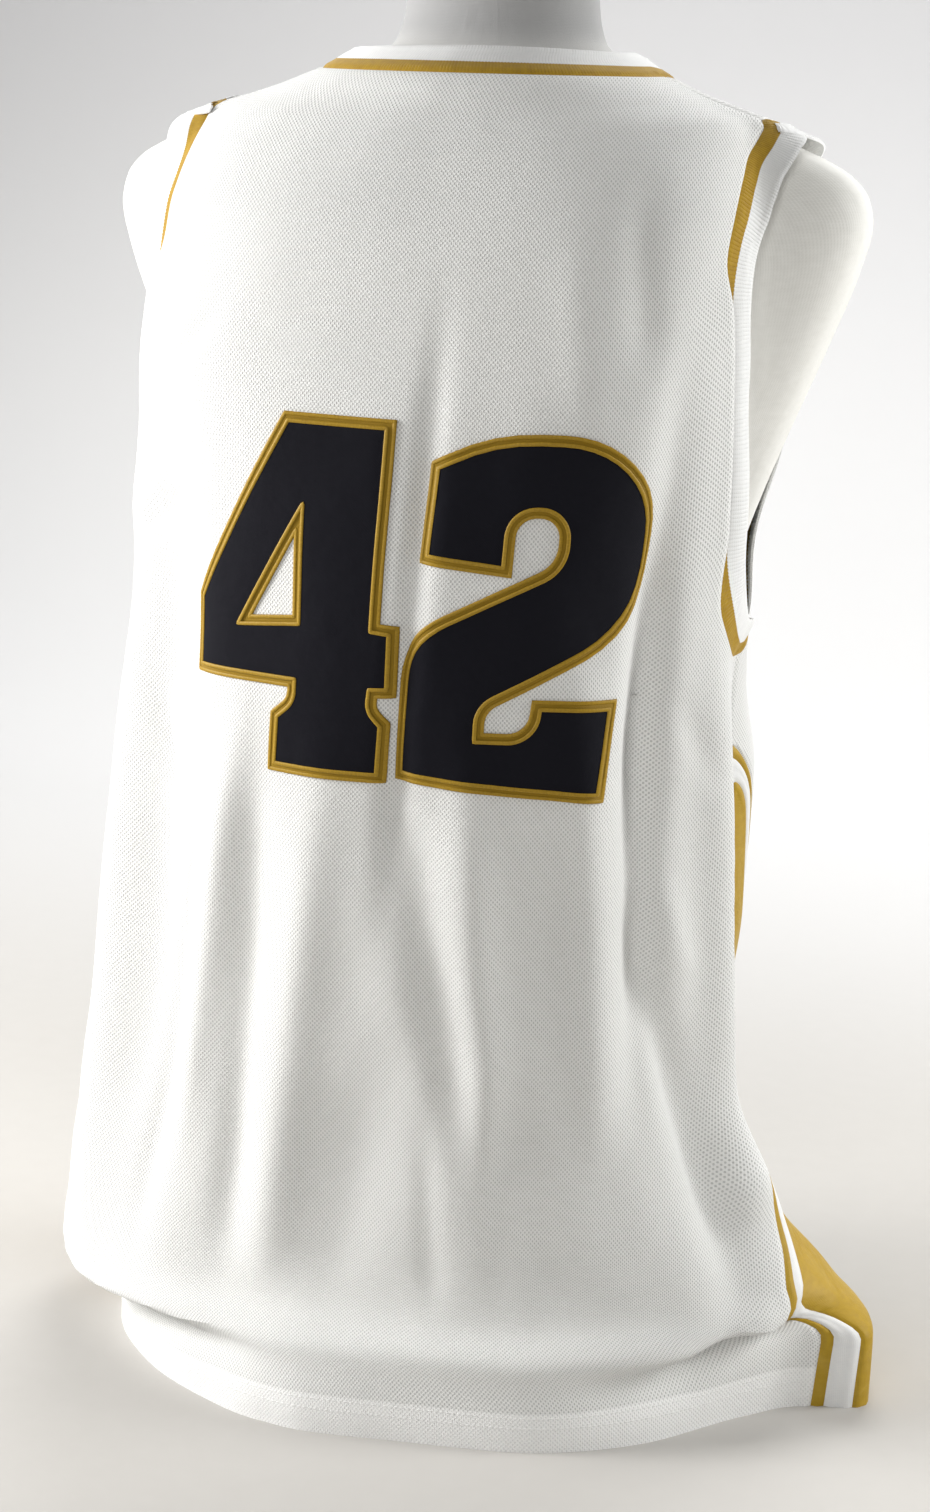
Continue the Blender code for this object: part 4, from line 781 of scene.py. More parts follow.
def panel_grid(front):
    """Grid of (across, up) over a body panel: rows up it, columns left to right."""
    leg = 1 if front else -1
    left, right = side_line(-1, leg), side_line(1, leg)
    shoulder = SHOULDER_FRONT if front else SHOULDER_BACK
    shares = edge_shares(112)
    in_shoulder = shares[(shares > 0) & (shares < shoulder - 1e-6)] / shoulder
    seam = SHOULDER_UP + (NECK_UP - SHOULDER_UP) * in_shoulder
    inner = shares[(shares > shoulder - 1e-6) & (shares < 1 - shoulder + 1e-6)]
    place = (inner - shoulder) / (1 - 2 * shoulder)
    neck = neck_line(front, 800)
    neck = neck[(np.clip(place, 0, 1) * 800).round().astype(int)]
    top = np.vstack([
        np.stack([np.full(len(seam), -0.5), seam], axis=1),
        neck,
        np.stack([np.full(len(seam), 0.5), seam[::-1]], axis=1),
    ])
    columns = len(shares) - 1
    ends = to_flat(np.stack([left[0], right[0]]), front)
    share = shares[1:-1, None]
    bottom = from_flat(ends[0] * (1 - share) + ends[1] * share, front)
    edge = np.vstack([bottom, right, top[::-1], left[::-1]])
    edge = offset_line(edge, -SEAM_GAP / 2 if front else SEAM_GAP / 2, closed=True)
    rows = len(right)
    edge[: columns - 1, 1] = 0.0
    edge[[columns - 1, -1], 1] = 0.0
    flat = to_flat(edge, front)
    right = flat[columns - 1 : columns - 1 + rows]
    left = flat[::-1][:rows]
    bottom = np.vstack([left[:1], flat[: columns - 1], right[:1]])
    top = np.vstack([left[-1:], flat[columns - 1 + rows : -rows][::-1], right[-1:]])
    s = shares[None, :, None]
    rise = (left[:, 1] / left[-1, 1])[:, None, None]
    t = rise**TOP_REACH
    level = (1 - t) * bottom[None] + t * top[None]
    hug = 1 + SIDES_HUG * rise**8
    from_left, from_right = left[:, None] - level[:, :1], right[:, None] - level[:, -1:]
    return level + (1 - s) ** hug * from_left + s**hug * from_right


def strip_grid(outer, inner, side, columns):
    """Grid of (around, up) over a strip between two arches, along its whole run."""
    legs = []
    for arch, way in ((outer, 1), (inner, -1)):
        back = arch_line(arch, side, -1)
        front = arch_line(arch, side, 1)
        line = np.vstack([back, front[:-1][::-1]])
        line[len(back) - 1, 0] = side * float(insert_centre(arch.apex_up, side))
        moved = offset_line(line, -way * side * SEAM_GAP / 2)
        moved[[0, -1], 1] = 0.0
        legs.append(moved)
    share = np.linspace(0, 1, columns)[None, :, None]
    return legs[0][:, None] * (1 - share) + legs[1][:, None] * share


def gold_grid(side):
    """Grid of (around, up) over the wide gold panel of an insert."""
    back, front = (arch_line(INSERT_GOLD, side, leg) for leg in (-1, 1))
    line = np.vstack([back, front[::-1]])
    count = len(back)
    line[count - 1 : count + 1, 0] = side * float(insert_centre(INSERT_GOLD.apex_up, side))
    # The apex is blunt, so that its two sides stay apart.
    line[count - 1, 0] -= side * 0.0006
    line[count, 0] += side * 0.0006
    line[count - 1 : count + 1, 1] -= 0.0015
    moved = offset_line(line, -side * SEAM_GAP / 2)
    moved[[0, -1], 1] = 0.0
    back, front = moved[:count], moved[count:][::-1]
    share = edge_shares(22)[None, :, None]
    return back[:, None] * (1 - share) + front[:, None] * share


def band_grid(seam, columns, rows):
    """Grid of (around, up) over a rib band, from its closed seam into the opening."""
    edge = seam
    for _ in range(4):
        edge = offset_line(edge, BAND_WIDTH / 4, closed=True)
    lines = []
    for line in (offset_line(seam, SEAM_GAP / 2, closed=True), edge):
        line = np.vstack([line, line[:1] + (round(line[-1, 0] - line[0, 0]), 0)])
        at = np.linspace(0, len(line) - 1, columns + 1)[:-1]
        once_round = line[-1] - line[0]
        padded_line = np.vstack([line[-2:-1] - once_round, line, line[1:2] + once_round])
        i = np.floor(at).astype(int)
        weights = cubic(at - i)
        lines.append(sum(w[:, None] * padded_line[i + k] for k, w in enumerate(weights)))
    share = np.linspace(0, 1, rows)[None, :, None]
    return lines[0][:, None] * (1 - share) + lines[1][:, None] * share


# ---- mesh helpers
def metres_between(grid):
    """How far each point of a grid of places is from the one before it in its row."""
    steps = np.linalg.norm(np.diff(grid, axis=1), axis=2)
    return np.concatenate([np.zeros((len(grid), 1)), steps.cumsum(axis=1)], axis=1)


def new_mesh(name, points, faces, uvs, material):
    """An object from points and faces; uvs has one place for each face corner."""
    mesh = bpy.data.meshes.new(name)
    mesh.from_pydata([tuple(point) for point in points], [], faces)
    layer = mesh.uv_layers.new(name="cloth")
    layer.data.foreach_set("uv", np.asarray(uvs, np.float32).ravel())
    mesh.materials.append(MATERIALS[material])
    mesh.validate()
    mesh.update()
    made = bpy.data.objects.new(name, mesh)
    bpy.context.scene.collection.objects.link(made)
    return made


def select_only(piece):
    """Makes one piece the only selected one."""
    for other in bpy.context.view_layer.objects:
        other.select_set(False)
    piece.select_set(True)
    bpy.context.view_layer.objects.active = piece


def smooth_up_to(piece, degrees, outwards=False):
    """Shades a piece smooth but for sharper edges; outwards also turns its faces out."""
    select_only(piece)
    if outwards:
        bpy.ops.object.mode_set(mode="EDIT")
        bpy.ops.mesh.select_all(action="SELECT")
        bpy.ops.mesh.normals_make_consistent(inside=False)
        bpy.ops.object.mode_set(mode="OBJECT")
    bpy.ops.object.shade_smooth_by_angle(angle=math.radians(degrees))


def shell(name, points, flat, material, thickness, closed=False):
    """A wall of cloth outside a grid of places, with its flat metres as its UV map.

    closed joins the last row to the first one.
    """
    rows, columns = points.shape[:2]
    runs = rows if closed else rows - 1
    corner = np.arange(rows * columns).reshape(rows, columns)
    j, i = np.meshgrid(np.arange(runs), np.arange(columns - 1), indexing="ij")
    k = (j + 1) % rows
    faces = np.stack([corner[j, i], corner[j, i + 1], corner[k, i + 1], corner[k, i]], axis=-1)
    last = np.concatenate([flat, 2 * flat[-1:] - flat[-2:-1]]) if closed else flat
    uvs = np.stack([last[j, i], last[j, i + 1], last[j + 1, i + 1], last[j + 1, i]], axis=2)
    faces, uvs = faces.reshape(-1, 4), uvs.reshape(-1, 4, 2)
    mid = points.reshape(-1, 3)[faces]
    out = np.cross(mid[:, 2] - mid[:, 0], mid[:, 3] - mid[:, 1])
    middle = points.reshape(-1, 3).mean(axis=0) * (0, 0, 1)
    away = mid.mean(axis=1) - middle
    if (out * away * (1, 1, 0)).sum() < 0:
        faces, uvs = faces[:, ::-1], uvs[:, ::-1]
    made = new_mesh(name, points.reshape(-1, 3), faces.tolist(), uvs, material)
    select_only(made)
    wall = made.modifiers.new("wall", "SOLIDIFY")
    wall.thickness = thickness
    wall.offset = 1.0
    bpy.ops.object.modifier_apply(modifier=wall.name)
    smooth_up_to(made, 50)
    return made


def sewn(piece, node, with_pieces=()):
    """Attaches a cloth piece and its extra pieces to the root body, and hides the imported part it
    stands for.
    """
    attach(piece, "root")
    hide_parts(node)
    for extra in with_pieces:
        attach(extra, "root")


# ---- body panels
def seam_dip(distance):
    """How a panel draws in along its seam, with a low ridge of folded cloth beside it."""
    return 0.0004 * bell(distance - 0.0042, 0.0018) - 0.0008 * bell(distance, 0.0017)


def body_panel(front):
    """A body panel: its flat grid and its places on the cloth."""
    flat = panel_grid(front)
    around, up = np.moveaxis(from_flat(flat, front), -1, 0)
    points, out = cloth(around, up), cloth_normals(around, up)
    left = np.linalg.norm(points - points[:, :1], axis=2)
    right = np.linalg.norm(points - points[:, -1:], axis=2)
    top = np.linalg.norm(points - points[-1:], axis=2)
    push = seam_dip(np.minimum(np.minimum(left, right), top))
    if not front:
        # Beside the armholes the panel's edge rolls out over the rib bands.
        beside = np.minimum(left, right)
        rolled = stretch(up, *ROLLED_EDGE)
        push = push + rolled * (0.0030 * bell(beside, 0.011))
        over = points[:, 2:] - points[:, :-2]
        over = unit(np.concatenate([over[:, :1], over, over[:, -1:]], axis=1))
        over *= np.where(left < right, -1.0, 1.0)[..., None]
        points = points + over * (OVERHANG * rolled * (1 - ease_in(beside / 0.034)))[..., None]
    return flat, points + out * push[..., None]


def hem_line(front, up):
    """Places along a body panel's hem strip at one height."""
    places = np.moveaxis(from_flat(panel_grid(front), front), 1, 0)
    if front:
        places[..., 0] %= 2
    return np.array([np.interp(up, column[:, 1], column[:, 0]) for column in places])[1:-1]


def hem_stitches(name, front):
    """Two rows of short raised stitches along a panel's hem."""
    points, faces = [], []
    sides = ((-1.0, 0.0), (-0.6, 0.8), (0.6, 0.8), (1.0, 0.0))  # round the thread
    rounded = np.array([0.1, 0.8, 1.0, 0.8, 0.1])
    tapered = np.array([0.4, 1.0, 1.0, 1.0, 0.4])
    count = len(rounded)
    for up in HEM_STITCH_ROWS:
        line = hem_line(front, up)
        step = np.diff(cloth(line, np.full(len(line), up)), axis=0)
        length = summed(np.linalg.norm(step, axis=1))
        for start in np.arange(0.002, length[-1] - HEM_STITCH, HEM_STITCH):
            run = start + np.linspace(0.0, HEM_STITCH_SHARE * HEM_STITCH, count)
            around = np.interp(run, length, line)
            out = cloth_normals(around, np.full(count, up))
            first = len(points)
            for side, share in sides:
                lift = CLOTH - 0.0001 + HEM_THREAD * share * rounded
                beside = cloth(around, up + side * HEM_THREAD * tapered)
                points += list(beside + out * lift[:, None])
            for s in range(4):
                for i in range(count - 1):
                    near, far = first + s * count + i, first + (s + 1) % 4 * count + i
                    faces.append((near, near + 1, far + 1, far))
            faces.append(tuple(first + s * count for s in range(4)))
            faces.append(tuple(first + s * count + count - 1 for s in (0, 3, 2, 1)))
    uvs = [(points[i][0], points[i][2]) for face in faces for i in face]
    piece = new_mesh(name, np.array(points), faces, uvs, "white_thread")
    smooth_up_to(piece, 60, outwards=True)
    return piece


def panel(name, front):
    """The front or back panel with the stitches of its hem."""
    flat, points = body_panel(front)
    piece = shell(name, points, flat, "white_mesh", CLOTH)
    node = "front_panel" if front else "back_panel"
    stitched = hem_stitches(name + "_hem_stitches", front)
    sewn(piece, node, [stitched])


# ---- side inserts
def insert_wall(name, grid, material):
    """A wall over one piece of a side insert, with its flat places and their run."""
    around, up = np.moveaxis(grid, -1, 0)
    flat = np.stack([across_metres(around, up), up], axis=-1)
    points, out = cloth(around, up), cloth_normals(around, up)
    push = seam_dip(np.minimum(*(
        np.linalg.norm(points - edge, axis=2) for edge in (points[:, :1], points[:, -1:])
    )))
    piece = shell(name, points + out * push[..., None], flat, material, CLOTH)
    return piece, flat, float(metres_between(points.transpose(1, 0, 2)).max())


def side_insert(side, word):
    """The wide gold panel of a side, its white strip and its narrow gold strip."""
    gold, flat, _ = insert_wall(f"insert_gold_{word}", gold_grid(side), "gold_knit")
    sewn(gold, f"side_gold_{word}")
    grid = strip_grid(INSERT_WHITE, INSERT_GOLD, side, 9)
    white, flat, run = insert_wall(f"insert_white_{word}", grid, "white_strip")
    grid = strip_grid(INSERT_OUTLINE, INSERT_WHITE, side, 7)
    edge, _, _ = insert_wall(f"insert_edge_{word}", grid, "gold_knit")
    sewn(white, f"side_white_{word}", [edge])
    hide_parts(f"side_edge_{word}")


# ---- rib bands
def rib_band(name, node, seam, tucked=False):
    """A rib knit band round an opening, gold along its seam and white at its edge.

    A tucked one lies under the rolled edge of the back panel.
    """
    steps = np.diff(cloth(*np.vstack([seam, seam[:1]]).T), axis=0)
    length = np.linalg.norm(steps, axis=1).sum()
    columns = round(length / RIB_PITCH) * RIB_POINTS
    around, up = np.moveaxis(band_grid(seam, columns, BAND_ROWS), -1, 0)
    points, out = cloth(around, up), cloth_normals(around, up)
    share = np.linspace(0, 1, BAND_ROWS)[None]
    rib = 0.5 - 0.5 * np.cos(2 * np.pi * np.arange(columns) / RIB_POINTS)[:, None]
    ends = ease_in(share / 0.08) * ease_in((1 - share) / 0.06)
    # The band leans out, dips at its seam and has a low lip at its edge.
    push = RIB_HEIGHT * rib * ends + 0.0020 * ease_in(share / 0.9)
    push -= 0.0009 * bell(share, 0.07)
    push += 0.0007 * bell(share - 0.955, 0.045)
    if tucked:
        back = (np.abs(around) < 0.5) & (np.abs(around) > 0.2)
        hid = stretch(up, *TUCKED_BAND) * back
        push -= 0.0026 * hid * (1 - ease_in((share - 0.25) / 0.5))
        low = stretch(up, *FLARED_BAND) * (around > 0.2) * (around < 0.5)
        push += 0.0045 * low * ease_in(share)
    across = metres_between(points)
    along = np.arange(columns)[:, None] * (length / columns)
    flat = np.stack([along + 0 * across, across], axis=-1)
    piece = shell(name, points + out * push[..., None], flat, "rib_knit", BAND_CLOTH, closed=True)
    sewn(piece, node)


# ---- numerals
def rounded_outline(corners, arc_step=math.radians(9)):
    """Outline points in metres of a polygon with rounded corners."""
    points = []
    for k, corner in enumerate(corners):
        here = np.array([corner.x, corner.y], float)
        before = np.array([corners[k - 1].x, corners[k - 1].y], float) - here
        after = corners[(k + 1) % len(corners)]
        after = np.array([after.x, after.y], float) - here
        before /= np.linalg.norm(before)
        after /= np.linalg.norm(after)
        if not corner.radius:
            points.append(here)
            continue
        half = math.acos(float(np.clip(before @ after, -1, 1))) / 2
        reach = corner.radius / math.tan(half)
        middle = (before + after) / np.linalg.norm(before + after)
        middle = here + middle * corner.radius / math.sin(half)
        start = here + before * reach - middle
        end = here + after * reach - middle
        sweep = math.pi - 2 * half
        steps = max(2, math.ceil(sweep / arc_step))
        turn = math.copysign(1, start[0] * end[1] - start[1] * end[0])
        for step in range(steps + 1):
            angle = turn * sweep * step / steps
            spin = [[math.cos(angle), -math.sin(angle)], [math.sin(angle), math.cos(angle)]]
            points.append(middle + np.array(spin) @ start)
    return np.array(points) / 1000.0


def inset(points, distance):
    """A closed outline moved to its left by a distance, with mitred corners."""
    before = points - np.roll(points, 1, axis=0)
    after = np.roll(before, -1, axis=0)
    sideways = []
    for run in (before, after):
        run = unit(run)
        sideways.append(np.stack([-run[:, 1], run[:, 0]], axis=1))
    scale = 1 + (sideways[0] * sideways[1]).sum(axis=1)
    return points + distance * (sideways[0] + sideways[1]) / scale[:, None]


def along_outline(points, spacing):
    """A closed outline with points about that far apart, its corners kept."""
    dense = []
    for start, end in zip(points, np.roll(points, -1, axis=0)):
        count = max(1, round(np.linalg.norm(end - start) / spacing))
        dense += [start + (end - start) * k / count for k in range(count)]
    return np.array(dense)


def inside_one(points, outline):
    """Which places lie within a closed outline."""
    x, y = points[:, 0], points[:, 1]
    crossings = np.zeros(len(points), int)
    for (x0, y0), (x1, y1) in zip(outline, np.roll(outline, -1, axis=0)):
        if y0 != y1:
            crossings += ((y0 > y) != (y1 > y)) & (x < x0 + (y - y0) * (x1 - x0) / (y1 - y0))
    return crossings % 2 == 1


def inside(points, loops):
    """Which places lie within the first closed outline and outside the others."""
    kept = inside_one(points, loops[0])
    for hole in loops[1:]:
        kept &= ~inside_one(points, hole)
    return kept


def on_back(flat, lift):
    """Places over the back panel, lifted off its inner face."""
    around, up = np.moveaxis(from_flat(flat, False), -1, 0)
    lift = np.broadcast_to(lift, around.shape)[..., None]
    return cloth(around, up) + cloth_normals(around, up) * lift


def rim_edges(faces):
    """Edges that only one face has, each in that face's order."""
    edges = set()
    for face in faces:
        for a, b in zip(face, face[1:] + face[:1]):
            if (b, a) in edges:
                edges.remove((b, a))
            else:
                edges.add((a, b))
    return sorted(edges)


def twill_layer(name, loops, lift, material):
    """A closed layer of twill cut to outlines and laid on the back panel, and its area."""
    loops = [along_outline(loop, TWILL_EDGE_SPACING) for loop in loops]
    low, high = loops[0].min(axis=0), loops[0].max(axis=0)
    x, y = (np.arange(a + 0.0015, b, TWILL_SPACING) for a, b in zip(low, high))
    middle = np.stack(np.meshgrid(x, y), axis=-1).reshape(-1, 2)
    near = np.vstack(loops)
    gap = np.array([np.hypot(*(near - spot).T).min() for spot in middle])
    spots = [tuple(spot) for spot in middle[inside(middle, loops) & (gap > 0.0016)]]
    edges = []
    for loop in loops:
        first = len(spots)
        spots += [tuple(point) for point in loop]
        edges += [(first + k, first + (k + 1) % len(loop)) for k in range(len(loop))]
    cut = geometry.delaunay_2d_cdt([Vector(spot) for spot in spots], edges, [], 0, 1e-7)
    places = np.array([tuple(spot) for spot in cut[0]])
    centres = np.array([places[list(face)].mean(axis=0) for face in cut[2]])
    faces = [tuple(face) for face, keep in zip(cut[2], inside(centres, loops)) if keep]
    count = len(places)
    rim = rim_edges(faces)
    walls = [tuple(face[::-1]) for face in faces]
    walls += [tuple(i + count for i in face) for face in faces]
    walls += [(a, b, b + count, a + count) for a, b in rim]
    rounding = np.zeros(count)
    rounding[[a for a, _ in rim]] = TWILL_ROUNDING
    points = np.vstack([on_back(places, lift), on_back(places, lift + TWILL - rounding)])
    uvs = [places[i % count] for face in walls for i in face]
    piece = new_mesh(name, points, walls, uvs, material)
    corner = points[np.array(faces) + count]
    out = np.cross(corner[:, 1] - corner[:, 0], corner[:, 2] - corner[:, 0])
    if out[:, 1].sum() < 0:
        piece.data.flip_normals()
    smooth_up_to(piece, 50)
    return piece, float(sum(triangle_area(places[list(face)]) for face in faces))


def triangle_area(corners):
    """Area of a flat triangle."""
    a, b = corners[1] - corners[0], corners[2] - corners[0]
    return abs(a[0] * b[1] - a[1] * b[0]) / 2


def satin_border(name, loops, lift):
    """Close zigzag stitches over the edge of a twill layer, as a ribbed closed cord."""
    points, faces, uvs = [], [], []
    profile = [(-0.5, -0.2), (-0.5, 0.3), (-0.22, 0.95), (0.22, 0.95), (0.5, 0.3), (0.5, -0.2)]
    turns = len(profile)
    for loop in loops:
        line = along_outline(loop, SATIN_PITCH / 2)
        line = line[: len(line) // 2 * 2]
        ahead = unit(np.roll(line, -1, axis=0) - np.roll(line, 1, axis=0))
        side = np.stack([-ahead[:, 1], ahead[:, 0]], axis=1)
        count = len(line)
        raised = np.where(np.arange(count) % 2 == 0, 1.0, 0.55)
        first = len(points)
        for across, up in profile:
            height = SATIN_HEIGHT * up * (raised if up > 0 else 1.0)
            points += list(on_back(line + side * across * SATIN_WIDTH, lift + height))
        run = np.arange(count + 1) * SATIN_PITCH / 2
        for p in range(turns):
            q = (p + 1) % turns
            v, w = p * SATIN_WIDTH / turns, (p + 1) * SATIN_WIDTH / turns
            for k in range(count):
                n = (k + 1) % count
                faces.append(tuple(first + i for i in (
                    p * count + k, p * count + n, q * count + n, q * count + k,
                )))
                uvs += [(run[k], v), (run[k + 1], v), (run[k + 1], w), (run[k], w)]
    piece = new_mesh(name, points, faces, uvs, "gold_thread")
    smooth_up_to(piece, 70, outwards=True)
    return piece


def numeral(name, outlines, left_edge, drop):
    """Both twill layers of one numeral and the close stitches that hold their edges."""
    loops = [rounded_outline(corners) for corners in outlines]

    def laid(inset_by):
        """The outlines on the back, the outer one made smaller and its holes larger."""
        placed = []
        for k, loop in enumerate(loops):
            points = inset(loop, -inset_by if k else inset_by)
            across = left_edge + points[:, 0] + NUMBER_LEAN * points[:, 1]
            placed.append(np.stack([across, NUMBER_UP - drop + points[:, 1]], axis=1))
        return placed

    lift, under = CLOTH + SEAM_GAP, "back"
    for colour, node, stitches, border, stitched_at in (
        ("gold", "base", "edge", 0.0, SATIN_INSET),
        ("dark", "top", "inner", TWILL_BORDER, TWILL_BORDER - 0.0001),
    ):
        twill, outline = f"{colour}_twill", laid(border)
        piece, area = twill_layer(f"{name}_{colour}", outline, lift, twill)
        stitched = satin_border(f"{name}_{stitches}_stitches", laid(stitched_at), lift + TWILL)
        sewn(piece, f"number_{name}_{node}", [stitched])
        lift, under = lift + TWILL + SEAM_GAP, piece.name


# ---- dress form
def form_ring(z, turn, slope):
    """Points of one cut through the form, which rises to the back by its slope."""
    *columns, sway = [read_table(FORM, "z", name, z) for name in Cut._fields[1:]]
    x, y = section(turn, *columns)
    return np.stack([x + sway, y, z + slope * y], axis=1) + ORIGIN


def dress_form():
    """The torso form, closed at its foot and at its sloping neck."""
    heights = np.concatenate([
        np.linspace(0, 0.60, 41)[:-1],
        np.linspace(0.60, 0.83, 78)[:-1],
        [0.83, 0.84, 0.848, 0.8515],
    ])
    turn = 2 * math.pi * np.arange(128) / 128
    turn = turn + 0.16 * np.sin(2 * turn)  # closer together at the sides
    rings = [form_ring(z, turn, CAP_SLOPE * float(ease_in((z - 0.81) / 0.0415))) for z in heights]
    rings[0] = rings[0] * (1, 1, 0)
    last = rings[-1].mean(axis=0)
    rings += [last + (rings[-1] - last) * share for share in (0.93, 0.5)]
    points = np.vstack([*rings, rings[0].mean(axis=0)[None], last[None]])
    count, faces, uvs = len(turn), [], []
    girth = FORM_RADIUS * np.append(turn, 2 * math.pi)
    for j in range(len(rings) - 1):
        for k in range(count):
            n = (k + 1) % count
            faces.append((j * count + n, j * count + k, (j + 1) * count + k, (j + 1) * count + n))
            low, high = rings[j][k][2], rings[j + 1][k][2]
            uvs += [(girth[k + 1], low), (girth[k], low), (girth[k], high), (girth[k + 1], high)]
    foot, head = len(points) - 2, len(points) - 1
    top = (len(rings) - 1) * count
    for k in range(count):
        n = (k + 1) % count
        faces += [(k, n, foot), (top + n, top + k, head)]
        uvs += [points[i][:2] for i in (k, n, foot, top + n, top + k, head)]
    piece = new_mesh("form", points, faces, uvs, "form_cover")
    smooth_up_to(piece, 40, outwards=True)
    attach(piece, "root")
    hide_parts("dress_form")


def neck_cap():
    """The plate that closes the form's neck, sloping down to the front."""
    neck = FORM[-1]
    thickness = CAP_THICKNESS - CAP_GAP
    bpy.ops.object.select_all(action="DESELECT")
    bpy.ops.mesh.primitive_cylinder_add(vertices=96, radius=1, depth=2)
    piece = bpy.context.object
    piece.name = "neck_cap"
    bpy.ops.object.mode_set(mode="EDIT")
    bpy.ops.mesh.select_all(action="SELECT")
    bpy.ops.transform.resize(value=(neck.half, neck.half, thickness / 2))
    bpy.ops.object.mode_set(mode="OBJECT")
    for vert in piece.data.vertices:
        x, y, z = vert.co
        y *= (neck.back if y >= 0 else neck.front) / neck.half
        level = neck.z + CAP_GAP + thickness / 2
        vert.co = (x + neck.sway + ORIGIN[0], y + ORIGIN[1], z + level + CAP_SLOPE * y)
    bevel = piece.modifiers.new("round", "BEVEL")
    bevel.width = 0.0025
    bevel.segments = 4
    bevel.limit_method = "ANGLE"
    select_only(piece)
    bpy.ops.object.modifier_apply(modifier=bevel.name)
    smooth_up_to(piece, 35)
    piece.data.materials.append(MATERIALS["neck_plate"])
    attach(piece, "root")
    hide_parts("neck_cap")


# ---- node helpers
VECTOR, FLOAT = "NodeSocketVector", "NodeSocketFloat"


def feed(tree, socket, value):
    """Links a socket to another one, or sets its value."""
    if isinstance(value, bpy.types.NodeSocket):
        tree.links.new(value, socket)
    else:
        socket.default_value = value


def add(tree, kind, inputs=(), **settings):
    """A node in a tree, with its settings made and its inputs set or linked."""
    made = tree.nodes.new(kind)
    for key, value in settings.items():
        setattr(made, key, value)
    for name, value in dict(inputs).items():
        feed(tree, made.inputs[name], value)
    return made


def maths(tree, operation, *values):
    """A Math node over sockets or numbers, and what it puts out."""
    return add(tree, "ShaderNodeMath", enumerate(values), operation=operation).outputs[0]


def parts(tree, vector):
    """The three numbers of a vector."""
    return add(tree, "ShaderNodeSeparateXYZ", {0: vector}).outputs


def noise(tree, place, scale, detail=2.0, **more):
    """A noise texture over places."""
    inputs = {"Vector": place, "Scale": scale, "Detail": detail, **more}
    return add(tree, "ShaderNodeTexNoise", inputs).outputs[0]


def step_between(tree, value, low, high):
    """0 below low, 1 above high and smooth between."""
    inputs = {"Value": value, 1: low, 2: high}
    return add(tree, "ShaderNodeMapRange", inputs, interpolation_type="SMOOTHSTEP").outputs[0]


def blend(tree, share, first, second):
    """A mix of two colours, each a socket or its red, green and blue."""
    inputs = {0: share}
    for number, colour in ((6, first), (7, second)):
        is_socket = isinstance(colour, bpy.types.NodeSocket)
        inputs[number] = colour if is_socket else (*colour, 1.0)
    return add(tree, "ShaderNodeMix", inputs, data_type="RGBA").outputs[2]


def new_group(name, inputs, outputs):
    """A shader node group: maths in it, what it takes in and a way to put things out."""
    group = bpy.data.node_groups.new(name, "ShaderNodeTree")
    for word, kind, value in inputs:
        socket = group.interface.new_socket(word, in_out="INPUT", socket_type=kind)
        if value is not None:
            socket.default_value = value
    for word in outputs:
        group.interface.new_socket(word, in_out="OUTPUT", socket_type=FLOAT)
    start = group.nodes.new("NodeGroupInput").outputs
    end = group.nodes.new("NodeGroupOutput").inputs
    return group, partial(maths, group), start, end


def put_out(group, end, **values):
    """Links what a group puts out, by name."""
    for name, value in values.items():
        group.links.new(value, end[name])
    return group


def mesh_knit_group():
    """Open mesh knit: staggered small eyelets between raised loops of yarn."""
    inputs = [("Cloth", VECTOR, None), ("Wale", FLOAT, 0.0024), ("Course", FLOAT, 0.0014)]
    group, calc, start, end = new_group("mesh knit", inputs, ("Eyelet", "Height", "Shade"))
    across, up, _ = parts(group, start["Cloth"])
    up = calc("DIVIDE", up, start["Course"])
    stagger = calc("MULTIPLY", calc("FLOORED_MODULO", calc("FLOOR", up), 2.0), 0.5)
    across = calc("ADD", calc("DIVIDE", across, start["Wale"]), stagger)
    squares = []
    for place, size in ((across, 0.20), (up, 0.56)):
        off = calc("SUBTRACT", calc("FRACT", place), 0.5)
        squares.append(calc("POWER", calc("DIVIDE", off, size), 2.0))
    off = calc("SQRT", calc("ADD", *squares))
    eyelet = calc("SUBTRACT", 1.0, step_between(group, off, 0.55, 1.15))
    yarn = calc("MULTIPLY", calc("SINE", calc("MULTIPLY", across, 4 * math.pi)), 0.10)
    height = calc("SUBTRACT", calc("ADD", yarn, 1.0), eyelet)
    shade = calc("MULTIPLY_ADD", noise(group, start["Cloth"], 90.0), 0.6, 0.2)
    return put_out(group, end, Eyelet=eyelet, Height=height, Shade=shade)


def twill_group():
    """Close diagonal lines of a twill weave."""
    inputs = [("Cloth", VECTOR, None), ("Spacing", FLOAT, 0.0007)]
    group, calc, start, end = new_group("twill weave", inputs, ("Line", "Shade"))
    across, up, _ = parts(group, start["Cloth"])
    run = calc("MULTIPLY_ADD", across, 0.8, up)
    wave = calc("MULTIPLY", calc("DIVIDE", run, start["Spacing"]), 2 * math.pi)
    line = calc("MULTIPLY_ADD", calc("SINE", wave), 0.5, 0.5)
    return put_out(group, end, Line=line, Shade=noise(group, start["Cloth"], 60.0, 4.0))


